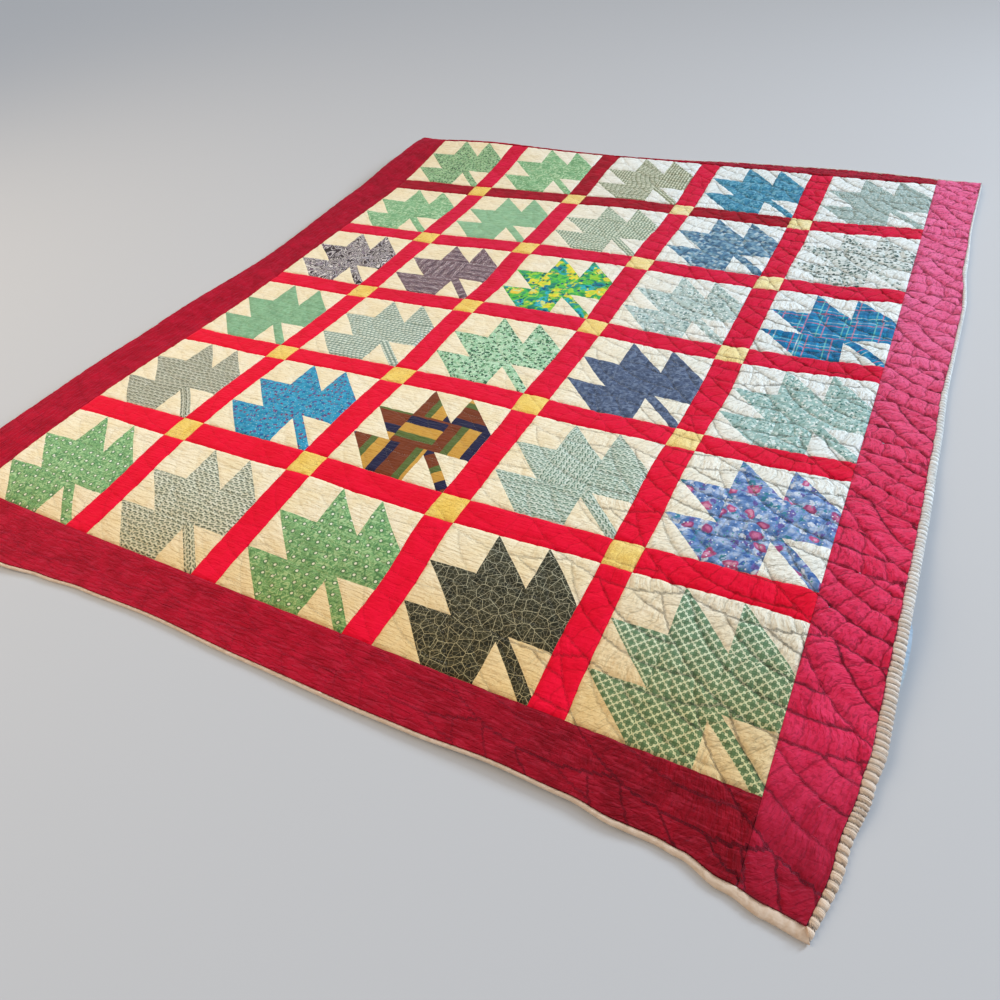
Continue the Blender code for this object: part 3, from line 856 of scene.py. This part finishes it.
def leafSlots(i, j, late):
    # which small triangles are leaf, and which patch of the nine each is in
    cells = leafBlock["cells"]
    column, row = i // cells, 2 - j // cells
    level = i % cells + j % cells + np.where(late == 1, 4 / 3, 2 / 3)
    lowerLeft = level < cells
    leaf = ((row == 0) & (column > 0) & lowerLeft) | ((row > 0) & (column == 0) & ~lowerLeft)
    leaf |= (row == 1) & (column > 0) | (row == 2) & (column == 1)
    stem = (row == 2) & (column == 2) & (np.abs(level - cells) < leafBlock["stemSteps"])
    patches = np.where(stem, 9, row * 3 + column)
    return np.where(leaf | stem, 1, 0), patches


def patchDip(a, b, firstA, firstB):
    # the seams inside a block, from its near left corner
    cell = cloth["block"] / 3
    inA, inB = a - firstA, b - firstB
    toA = np.minimum(np.abs(inA - cell), np.abs(inA - 2 * cell))
    toB = np.minimum(np.abs(inB - cell), np.abs(inB - 2 * cell))
    column, row = np.clip(inA // cell, 0, 2), np.clip(2 - inB // cell, 0, 2)
    slant = (inA % cell + inB % cell - cell) / math.sqrt(2)
    stemEdge = leafBlock["stemSteps"] * cell / leafBlock["cells"] / math.sqrt(2)
    halves = ((row == 0) & (column > 0)) | ((row > 0) & (column == 0))
    toStem = np.where((row == 2) & (column == 2), np.abs(np.abs(slant) - stemEdge), 1.0)
    away = np.minimum(np.minimum(toA, toB), np.where(halves, np.abs(slant), toStem))
    return seams["patchDip"] * np.exp(-(away / seams["patchReach"]) ** 2)


def linesBetween(seamsOf, first, steps):
    return np.linspace(seamsOf[first] + cloth["seamGap"], seamsOf[first + 1] - cloth["seamGap"], steps + 1)


def blockLines(seamsOf, index):
    return linesBetween(seamsOf, 2 * index, 3 * leafBlock["cells"])


def makeBlock(row, column):
    name = leafPrints[row][column]
    alongIndex = cloth["rows"] - 1 - row
    draw = np.random.default_rng(100 + row * 10 + column)
    turns = np.radians(draw.choice((0, 90), 10).astype(float))
    turns[9] = math.radians(-45)
    if name in leafBlock["patchTurns"]:
        turns = np.radians([leafBlock["patchTurns"][name].get(patch, 0.0) for patch in range(10)])
    offsets = draw.uniform(0.2, 0.9, (10, 2))

    def turned(uv, patches):
        turn = turns[patches]
        across = uv[:, 0] * np.cos(turn) + uv[:, 1] * np.sin(turn)
        up = uv[:, 1] * np.cos(turn) - uv[:, 0] * np.sin(turn)
        return np.stack((across, up), -1) + offsets[patches]

    firstA, firstB = acrossSeams[2 * column], alongSeams[2 * alongIndex]
    return latticeMesh(
        f"block_r{row + 1}c{column + 1}",
        blockLines(acrossSeams, column), blockLines(alongSeams, alongIndex),
        lambda a, b: topOf(a, b) - patchDip(a, b, firstA, firstB),
        (creamPatch, printMaterials[name]), leafSlots, turned)


print("leaf blocks")
blocks = [makeBlock(row, column) for row in range(cloth["rows"]) for column in range(cloth["columns"])]

# Sashing strips between the blocks, and yellow cornerstones where they cross
sashing = {
    # bright: painted light, the red turning cooler towards the far end as in the window's light; the deep
    # strips are a red of their own
    "bright": {"first": {"ground": ((234, 0, 42), (242, 4, 50)), "mottle": 40},
               "last": {"ground": ((208, 12, 54), (220, 22, 68)), "mottle": 40},
               "shift": ((0.30, 0.80), -0.50, 0.30), "fade": 0.3, "sheen": 0.05, "paintedNearShade": False},
    "deep": {"ground": ((150, 6, 30), (172, 8, 38)), "mottle": 30, "fade": 0.4, "sheen": 0.05},
    # tone of the painted shade in the quilted grooves
    "paintedGroove": (150, 60, 70),
    "steps": 15,
    "deepStrips": {"down": ((0, 1),), "over": ((0, 0), (0, 1), (0, 2), (0, 3))},
}
# painted light: the yellow warm-lit at the near left and paler in daylight at the far right
cornerstone = {"first": {"ground": ((246, 206, 96), (252, 218, 118)), "mottle": 30},
               "last": {"ground": ((246, 232, 168), (250, 240, 190)), "mottle": 30},
               "shift": ((0.85, 0.5), -0.08, 0.55), "size": 9.0, "count": 5.0, "thick": 0.10,
               "line": (168, 118, 44), "strength": 0.4}


def squiggled(tree, place, look):
    away = apart(tree, product(tree, cloud(tree, place, look["size"], 1.0, 1.4), look["count"]))
    line = product(tree, under(tree, away, look["thick"], 0.05), look["strength"])
    return mixTones(tree, line, paintedLightShift(tree, place, look), look["line"])


brightRed = clothMaterial("brightRedCotton", paintedLightShift, sashing["bright"], 0.8, sashing["paintedGroove"])
deepRed = clothMaterial("deepRedCotton", mottled, sashing["deep"], 0.8, sashing["paintedGroove"])
yellowPrint = clothMaterial("yellowSquiggleCotton", squiggled, cornerstone)


def sashLines(seamsOf, index):
    return linesBetween(seamsOf, 2 * index + 1, sashing["steps"])


def joined(name, pieces):
    # several strips become one object
    chosen = {"active_object": pieces[0], "object": pieces[0], "selected_editable_objects": pieces}
    with bpy.context.temp_override(**chosen):
        bpy.ops.object.join()
    pieces[0].name = name
    return pieces[0]


def makeSashes(way):
    strips = []
    down = way == "down"
    rows, columns = cloth["rows"] - (not down), cloth["columns"] - down
    for row in range(rows):
        for column in range(columns):
            if down:
                lines = sashLines(acrossSeams, column), blockLines(alongSeams, rows - 1 - row)
            else:
                lines = blockLines(acrossSeams, column), sashLines(alongSeams, rows - 1 - row)
            red = deepRed if (row, column) in sashing["deepStrips"][way] else brightRed
            strips.append(latticeMesh(f"strip_{row}_{column}", *lines, topOf, (red,), bottomStep=15))
    return joined("sashing_" + way, strips)


print("sashing")
sashes = [makeSashes("down"), makeSashes("over")]
corners = joined("cornerstones", [
    latticeMesh(f"corner_{row}_{column}", sashLines(acrossSeams, column), sashLines(alongSeams, row),
                topOf, (yellowPrint,), bottomStep=15)
    for row in range(cloth["rows"] - 1) for column in range(cloth["columns"] - 1)])

# The wide crimson border, the left and right strips over its whole length
borderLooks = {
    # right: painted shade at the near end, and a painted pink sheen of the window's light towards the far end
    "right": {"first": {"ground": ((126, 2, 20), (152, 6, 32)), "mottle": 34},
              "middle": {"ground": ((214, 34, 74), (226, 50, 92)), "mottle": 34},
              "last": {"ground": ((226, 92, 138), (236, 110, 156)), "mottle": 34},
              "shift": ((0.0, 1.0), -0.98, -0.70), "shiftOn": ((0.0, 1.0), -0.40, 0.32),
              "crinkle": 1.3, "sheen": 0.40, "paintedNearShade": False, "calmer": ((0.0, 1.0), -0.95, -0.60)},
    # near: painted shade, darker towards the right
    "near": {"first": {"ground": ((164, 4, 30), (186, 12, 42)), "mottle": 34},
             "last": {"ground": ((122, 2, 18), (146, 6, 28)), "mottle": 34}, "shift": ((1.0, 0.0), 0.0, 0.65),
             "crinkle": 1.8, "sheen": 0.12, "paintedStreakSheen": (190, 44, 66),
             "calmer": ((0.0, 1.0), -0.95, -0.60)},
    # left, also used for the far border: painted shade, a little darker towards the far end
    "left": {"first": {"ground": ((164, 2, 30), (184, 8, 40)), "mottle": 34},
             "last": {"ground": ((150, 4, 28), (174, 8, 40)), "mottle": 34}, "shift": ((0.0, 1.0), -0.6, 0.6),
             "crinkle": 1.6, "sheen": 0.10, "paintedStreakSheen": (182, 30, 54), "wrinkle": (210.0, 30.0, 1.0)},
}
# tone of the painted shade in the quilted grooves, with the worn tone and mesh steps
border = {"fade": 0.4, "sheenTint": (255, 150, 190), "paintedGroove": (96, 20, 40), "steps": 24, "step": 0.0034}


def paintedLightCrimson(tree, place, look):
    # crimson in painted shade at the near end, turning to the pink of a painted sheen of the window's light
    # towards the far end
    nearHalf = paintedLightShift(tree, place, {**look, "last": look["middle"]})
    return mixTones(tree, towards(tree, *look["shiftOn"]), nearHalf, mottled(tree, place, look["last"]))


def borderCloth(side, pattern):
    look = {**border, **borderLooks[side]}
    return clothMaterial("crimsonCotton" + side.capitalize(), pattern, look, look["crinkle"], look["paintedGroove"])


crimsonRight = borderCloth("right", paintedLightCrimson)
crimsonNear = borderCloth("near", paintedLightShift)
crimsonLeft = borderCloth("left", paintedLightShift)


def makeBorder(name, aEnds, bEnds, crimson):
    gap = cloth["seamGap"]
    lines = []
    for low, high in (aEnds, bEnds):
        count = border["steps"] if high - low < 0.1 else round((high - low) / border["step"])
        lines.append(np.linspace(low + gap, high - gap, count + 1))
    return latticeMesh(name, lines[0], lines[1], topOf, (crimson,))


print("border")
outAcross, outAlong = halfAcross + cloth["border"], halfAlong + cloth["border"]
borders = {
    "border_" + side: makeBorder("crimson_" + side, aEnds, bEnds, crimson)
    for side, aEnds, bEnds, crimson in (
        ("left", (-outAcross, -halfAcross), (-outAlong, outAlong), crimsonLeft),
        ("right", (halfAcross, outAcross), (-outAlong, outAlong), crimsonRight),
        ("near", (-halfAcross, halfAcross), (-outAlong, -halfAlong), crimsonNear),
        ("far", (-halfAcross, halfAcross), (halfAlong, outAlong), crimsonLeft),
    )
}

# The binding: a folded strip, drawn in by its stitches at every few millimetres
binding = {
    "section": ((0.0003, 0.0004), (0.0045, 0.0001), (0.0082, 0.0001), (0.0101, 0.0010), (0.0110, 0.0028),
                (0.0109, 0.0047), (0.0098, 0.0064), (0.0078, 0.0077), (0.0052, 0.0082), (0.0027, 0.0080),
                (0.0008, 0.0070), (0.0001, 0.0054)),
    "step": {"left": 0.0030, "right": 0.0016, "near": 0.0024, "far": 0.0030},
    "pillow": {"left": 0.0125, "right": 0.0082, "near": 0.0125, "far": 0.0125},
    "crease": 0.17,
    "tilt": 18.0,
    "sway": 1.3,
    "swayStep": 0.045,
    "drawnFrom": 0.006,  # the height where the thread draws it in fully
    "drawnOver": 0.6,
    "outerPart": 0.008,
    "depth": {"left": 0.0011, "right": 0.0032, "near": 0.0004, "far": 0.0014},
    "flat": {"left": 1.0, "right": 1.0, "near": 0.60, "far": 1.0},
    # painted light: warm-lit at the near left, cool in daylight at the far right; wide: the painted shade
    # lines at its creases are wide
    "look": {"first": {"ground": ((222, 194, 168), (236, 212, 190)), "mottle": 12},
             "last": {"ground": ((234, 238, 238), (246, 248, 248)), "mottle": 20},
             "shift": ((0.75, 0.55), 0.10, 0.50), "fade": 0.4, "paintedNearShade": False, "wide": 3.2},
}
# painted shade at the binding's creases, in this tone
bindingCotton = clothMaterial("bindingCotton", paintedLightShift, binding["look"], 0.8, paintedShadeTone=(128, 130, 134))


def makeBinding(side):
    upright = side in ("left", "right")
    half, out = (outAlong, outAcross) if upright else (outAcross, outAlong)
    sign = -1 if side in ("left", "near") else 1
    count = round(2 * half / binding["step"][side])
    section = np.array(binding["section"])
    place = np.linspace(-half, half, count + 1)[:, None] * (1 + section[:, 0] / half)
    outward = np.broadcast_to(section[:, 0], place.shape)
    phase = place / binding["pillow"][side] + binding["tilt"] * outward
    phase = phase + binding["sway"] * wobble(place / binding["swayStep"], 5.0 + sign)
    fromCrease = np.abs(phase - np.round(phase))
    depth = binding["depth"][side] * (0.5 + wobble(np.round(phase), 2.0 * sign))
    drawn = depth * np.exp(-(fromCrease / binding["crease"]) ** 2)
    drawn = drawn * np.clip(section[:, 1] / binding["drawnFrom"], 0, 1)
    height = section[:, 1] * binding["flat"][side] - drawn
    outward = outward - binding["drawnOver"] * drawn * (section[:, 0] > binding["outerPart"])
    a, b = (sign * (out + outward), place) if upright else (place, sign * (out + outward))
    points = layOut(a, b, height)
    ringSize = len(section)
    index = np.arange(points.shape[0] * ringSize).reshape(-1, ringSize)
    beside = np.roll(index, -1, axis=1)
    quads = np.stack((index[:-1], index[1:], beside[1:], beside[:-1]), -1).reshape(-1, 4)
    caps = [index[0].tolist(), index[-1][::-1].tolist()]
    if side in ("right", "near"):
        quads = quads[:, ::-1]
        caps = [cap[::-1] for cap in caps]
    mesh = bpy.data.meshes.new("binding")
    mesh.from_pydata(points.reshape(-1, 3).tolist(), [], quads.tolist() + caps)
    mesh.materials.append(bindingCotton)
    around = np.concatenate(([0.0], np.cumsum(np.hypot(*np.diff(section, axis=0).T))))
    flat = np.stack((place, np.broadcast_to(around, place.shape)), -1).reshape(-1, 2)
    # the crease count, where the painted shade draws dark lines, on the right binding only; a half draws none
    between = np.full(phase.size, 0.5)
    pillows = np.stack((phase.ravel() if side == "right" else between, between), -1)
    corners = cornerPoints(mesh)
    addPlaces(mesh, flat[corners], pillows[corners])
    return finishMesh("bound_" + side, mesh)


print("binding")
bindings = {"binding_" + side: makeBinding(side) for side in ("left", "right", "near", "far")}

# The backing: one thin sheet, a sliver of which shows where the right edge lifts
backing = {
    "thickness": 0.0012,
    "step": 0.020,
    "edge": 0.0004,
    "peekBend": 0.044,
    "peek": 0.0100,  # how far the sliver stands out past the binding
    "peekDrop": 0.009,
    "peekAt": -0.600,
    "peekReach": 0.075,
    "look": {"ground": ((176, 200, 224), (192, 212, 232)), "mottle": 50, "fade": 0.3},
}
backingCotton = clothMaterial("paleBlueCotton", mottled, backing["look"], paintedShadeTone=None)


def makeBacking():
    edge, step = backing["edge"], backing["step"]
    lines = [np.linspace(edge - out, out - edge, round(2 * out / step) + 1) for out in (outAcross, outAlong)]
    aAll, bAll = np.meshgrid(*lines, indexing="ij")
    sheets = [layOut(aAll, bAll, height) for height in (backing["thickness"], 0.0)]
    peek = np.exp(-((bAll - backing["peekAt"]) / backing["peekReach"]) ** 4)
    peek = peek * smoothStep((aAll - outAcross) / backing["peekBend"] + 1)
    for sheet in sheets:
        sheet[..., 0] += peek * (cloth["binding"] + backing["peek"])
        sheet[..., 2] -= peek * np.minimum(backing["peekDrop"], sheet[..., 2])
    points = np.concatenate([sheet.reshape(-1, 3) for sheet in sheets])
    size = aAll.size
    index = np.arange(size).reshape(aAll.shape)
    quads = np.stack((index[:-1, :-1], index[1:, :-1], index[1:, 1:], index[:-1, 1:]), -1).reshape(-1, 4)
    faces = quads.tolist() + (quads[:, ::-1] + size).tolist()
    loop = np.concatenate((index[:-1, 0], index[-1, :-1], index[:0:-1, -1], index[0, :0:-1]))
    following = np.roll(loop, -1)
    faces += np.stack((loop + size, following + size, following, loop), -1).tolist()
    mesh = bpy.data.meshes.new("backing")
    mesh.from_pydata(points.tolist(), [], faces)
    mesh.materials.append(backingCotton)
    flat = np.tile(np.stack((aAll, bAll), -1).reshape(-1, 2), (2, 1))
    corners = cornerPoints(mesh)
    addPlaces(mesh, flat[corners], flat[corners])
    return finishMesh("backing_sheet", mesh)


print("backing")
backingSheet = makeBacking()

# Quilting stitches: small beads of thread that follow the fans' arcs
stitches = {
    "pitch": 0.0047,
    "length": 0.0030,
    "thickness": 0.0006,
    "raise": -0.0001,
    "sample": 0.0025,
    "edge": 0.004,
    "beadSides": 3,
    "castFrom": 0.05,  # each point is dropped on the cloth from this height, no further than castReach
    "castReach": 0.08,
    "inside": 0.00001,
    "twist": 0.0001,
    "pale": {"ground": ((172, 162, 142), (188, 180, 160)), "mottle": 8},
    "red": {"ground": ((150, 4, 28), (172, 8, 38)), "mottle": 8},
}


def threadMaterial(name, look):
    material, tree, shader = newMaterial(name, 0.9, 0.1)
    place = put(tree, "TexCoord", {}, outlet="Object")
    tree.links.new(mottled(tree, place, look), shader.inputs["Base Color"])
    twist = put(tree, "TexWave", {"Vector": sized(tree, place, 1.0), "Scale": 1.0})
    normal = bumped(tree, stitches["twist"], twist, strength=0.5)
    tree.links.new(normal, shader.inputs["Normal"])
    return material


def stitchTree():
    tree = bpy.data.node_groups.new("stitchesAlongArcs", "GeometryNodeTree")
    tree.interface.new_socket("Geometry", in_out="INPUT", socket_type="NodeSocketGeometry")
    for name in ("Pitch", "Length", "Thickness"):
        tree.interface.new_socket(name, in_out="INPUT", socket_type="NodeSocketFloat")
    tree.interface.new_socket("Thread", in_out="INPUT", socket_type="NodeSocketMaterial")
    tree.interface.new_socket("Geometry", in_out="OUTPUT", socket_type="NodeSocketGeometry")
    given = tree.nodes.new("NodeGroupInput")
    result = tree.nodes.new("NodeGroupOutput")
    toCurve = tree.nodes.new("GeometryNodeMeshToCurve")
    resample = tree.nodes.new("GeometryNodeResampleCurve")
    resample.mode = "LENGTH"
    bead = tree.nodes.new("GeometryNodeMeshUVSphere")
    bead.inputs["Segments"].default_value = stitches["beadSides"]
    bead.inputs["Rings"].default_value = stitches["beadSides"]
    bead.inputs["Radius"].default_value = 0.5
    smooth = tree.nodes.new("GeometryNodeSetShadeSmooth")
    tangent = tree.nodes.new("GeometryNodeInputTangent")
    align = tree.nodes.new("FunctionNodeAlignRotationToVector")
    align.axis = "Z"
    scale = tree.nodes.new("ShaderNodeCombineXYZ")
    place = tree.nodes.new("GeometryNodeInstanceOnPoints")
    realize = tree.nodes.new("GeometryNodeRealizeInstances")
    paint = tree.nodes.new("GeometryNodeSetMaterial")
    for source, target in (
        (given.outputs["Geometry"], toCurve.inputs["Mesh"]),
        (toCurve.outputs["Curve"], resample.inputs["Curve"]),
        (given.outputs["Pitch"], resample.inputs["Length"]),
        (resample.outputs["Curve"], place.inputs["Points"]),
        (bead.outputs["Mesh"], smooth.inputs["Geometry"]),
        (smooth.outputs["Geometry"], place.inputs["Instance"]),
        (tangent.outputs["Tangent"], align.inputs["Vector"]),
        (align.outputs["Rotation"], place.inputs["Rotation"]),
        (given.outputs["Thickness"], scale.inputs["X"]),
        (given.outputs["Thickness"], scale.inputs["Y"]),
        (given.outputs["Length"], scale.inputs["Z"]),
        (scale.outputs["Vector"], place.inputs["Scale"]),
        (place.outputs["Instances"], realize.inputs["Geometry"]),
        (realize.outputs["Geometry"], paint.inputs["Geometry"]),
        (given.outputs["Thread"], paint.inputs["Material"]),
        (paint.outputs["Geometry"], result.inputs["Geometry"]),
    ):
        tree.links.new(source, target)
    return tree


def arcSamples():
    # points on every fan's arcs, kept where that fan is the one that shows
    radius, stepA, stepB = quilting["radius"], quilting["stepAcross"], quilting["stepAlong"]
    limitA, limitB = outAcross - stitches["edge"], outAlong - stitches["edge"]
    chains = []
    last = math.ceil((limitA + radius) / stepA) + 1
    for row in range(math.ceil(-limitB / stepB), math.floor((limitB + radius) / stepB) + 1):
        offset = stepA / 2 if row % 2 else 0.0
        for column in range(math.floor((-limitA - radius - offset) / stepA), last):
            centreA, centreB = column * stepA + offset, row * stepB
            for ring in range(1, round(radius / quilting["spacing"]) + 1):
                size = ring * quilting["spacing"] - stitches["inside"]
                turn = np.linspace(math.pi, 2 * math.pi, round(math.pi * size / stitches["sample"]))
                a, b = centreA + size * np.cos(turn), centreB + size * np.sin(turn)
                inside = (np.abs(a) < limitA) & (np.abs(b) < limitB)
                if inside.any():
                    mark = nearestStitch(a, b)[3]
                    chains.append((a, b, inside & (mark == row * 100 + column)))
    return chains


def surfaceTree(pieces):
    points, faces = [], []
    for piece in pieces:
        base = len(points)
        points += [vertex.co.copy() for vertex in piece.data.vertices]
        tops = [face.vertices for face in piece.data.polygons if len(face.vertices) == 3]
        faces += [[base + corner for corner in face] for face in tops]
    return BVHTree.FromPolygons(points, faces)


def makeStitches(name, surface, wanted, tree, thread):
    points, edges = [], []
    for a, b, shown in arcChains:
        shown = shown & wanted(a, b)
        spots = layOut(a, b, stitches["castFrom"])
        previous = None
        for spot, seen in zip(spots, shown):
            hit = None
            if seen:
                hit = surface.ray_cast(Vector(spot), Vector((0, 0, -1)), stitches["castReach"])[0]
            if hit is None:
                previous = None
                continue
            points.append((hit.x, hit.y, hit.z + stitches["raise"]))
            if previous is not None:
                edges.append((previous, len(points) - 1))
            previous = len(points) - 1
    mesh = bpy.data.meshes.new(name + "Lines")
    mesh.from_pydata(points, edges, [])
    lines = addObject(name + "Lines", mesh)
    modifier = lines.modifiers.new("stitches", "NODES")
    modifier.node_group = tree
    values = {**stitches, "thread": thread}
    for socket in tree.interface.items_tree:
        if socket.in_out == "INPUT" and socket.name.lower() in values:
            modifier[socket.identifier] = values[socket.name.lower()]
    evaluated = lines.evaluated_get(bpy.context.evaluated_depsgraph_get())
    made = bpy.data.meshes.new_from_object(evaluated)
    bpy.data.objects.remove(lines)
    made.name = name
    print(name, len(made.polygons), "faces")
    return addObject(name, made)


print("stitches")
arcChains = arcSamples()
threadTree = stitchTree()


def inField(a, b):
    return (np.abs(a) < halfAcross - 0.001) & (np.abs(b) < halfAlong - 0.001)


def inBlocks(a, b):
    across = (a + halfAcross) % pitch < cloth["block"]
    return inField(a, b) & across & ((b + halfAlong) % pitch < cloth["block"])


def inSashing(a, b):
    return inField(a, b) & ~inBlocks(a, b)


def inBorder(a, b):
    return (np.abs(a) > halfAcross + 0.001) | (np.abs(b) > halfAlong + 0.001)


topSurface = surfaceTree([*blocks, *sashes, corners, *borders.values()])
redThread = threadMaterial("redThread", stitches["red"])
paleThread = threadMaterial("paleThread", stitches["pale"])
stitchPieces = [
    makeStitches("stitches_blocks", topSurface, inBlocks, threadTree, paleThread),
    makeStitches("stitches_sashing", topSurface, inSashing, threadTree, redThread),
    makeStitches("stitches_border", topSurface, inBorder, threadTree, redThread),
]

# Every piece rides on the one body
print("fit to the frame")
for piece in (*blocks, *sashes, corners, *stitchPieces[:2]):
    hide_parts("pieced_field")
for node, piece in {**borders, **bindings, "backing": backingSheet}.items():
    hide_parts(node)
upperPieces = [*blocks, *sashes, corners, *borders.values(), *bindings.values(), *stitchPieces]
for piece in (*upperPieces, backingSheet):
    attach(piece, "root")

# Floor, lights and camera
studio = {
    "floor": (196, 197, 200),
    "floorReach": 60.0,
    "floorHeight": -0.0006,
    "world": ((220, 224, 232), 0.36),
    "suns": (  # name, place, strength, soft angle, colour
        ("window", (2.40, 2.88, 1.44), 2.5, 14.0, (0.74, 0.87, 1.0)),
        ("fill", (-2.20, -1.80, 2.80), 0.75, 30.0, (1.0, 0.86, 0.68)),
    ),
    "lamps": (  # name, place, aim, size, power, colour
        ("sideLamp", (2.6, 1.1, 1.9), (0.75, 0.2, 0.0), 2.2, 46.0, (0.78, 0.89, 1.0)),
        ("warmLamp", (-2.2, -1.2, 2.1), (-0.4, 0.0, 0.0), 2.4, 40.0, (1.0, 0.80, 0.55)),
    ),
}


def addLight(name, kind, place, aim, strength, colour, **settings):
    data = bpy.data.lights.new(name, kind)
    data.energy = strength
    data.color = colour
    for key, value in settings.items():
        setattr(data, key, value)
    light = addObject(name, data)
    light.location = place
    light.rotation_euler = (Vector(aim) - Vector(place)).to_track_quat("-Z", "Y").to_euler()


print("floor and lights")
reach, height = studio["floorReach"], studio["floorHeight"]
floorMesh = bpy.data.meshes.new("floor")
floorMesh.from_pydata([(-reach, -reach, height), (reach, -reach, height), (reach, reach, height),
                       (-reach, reach, height)], [], [(0, 1, 2, 3)])
floorMaterial, floorTree, floorShader = newMaterial("paleFloor", 0.9, 0.5)
floorShader.inputs["Base Color"].default_value = tone(studio["floor"])
floorMesh.materials.append(floorMaterial)
addObject("floor", floorMesh)

world = bpy.data.worlds.new("studio")
world.use_nodes = True
background = world.node_tree.nodes["Background"]
background.inputs["Color"].default_value = tone(studio["world"][0])
background.inputs["Strength"].default_value = studio["world"][1]
bpy.context.scene.world = world
for name, place, strength, angle, colour in studio["suns"]:
    addLight(name, "SUN", place, (0.0, 0.0, 0.0), strength, colour, angle=math.radians(angle))
for name, place, aim, size, power, colour in studio["lamps"]:
    addLight(name, "AREA", place, aim, power, colour, shape="SQUARE", size=size)
bpy.context.scene.view_settings.view_transform = "Standard"

viewpoint = {
    "place": (0.7498, -1.3394, 0.927),
    "right": (0.88161, 0.45914, -0.10932),
    "up": (-0.21159, 0.59153, 0.77803),
    "back": (0.42189, -0.66279, 0.61865),
    "lens": 29.99,
    "shiftY": -0.0663,
}
cameraData = bpy.data.cameras.new("camera")
cameraData.lens = viewpoint["lens"]
cameraData.sensor_width = 36.0
cameraData.shift_y = viewpoint["shiftY"]
camera = addObject("camera", cameraData)
turned = Matrix((viewpoint["right"], viewpoint["up"], viewpoint["back"])).transposed().to_4x4()
camera.matrix_world = Matrix.Translation(viewpoint["place"]) @ turned
bpy.context.scene.camera = camera

print("done")
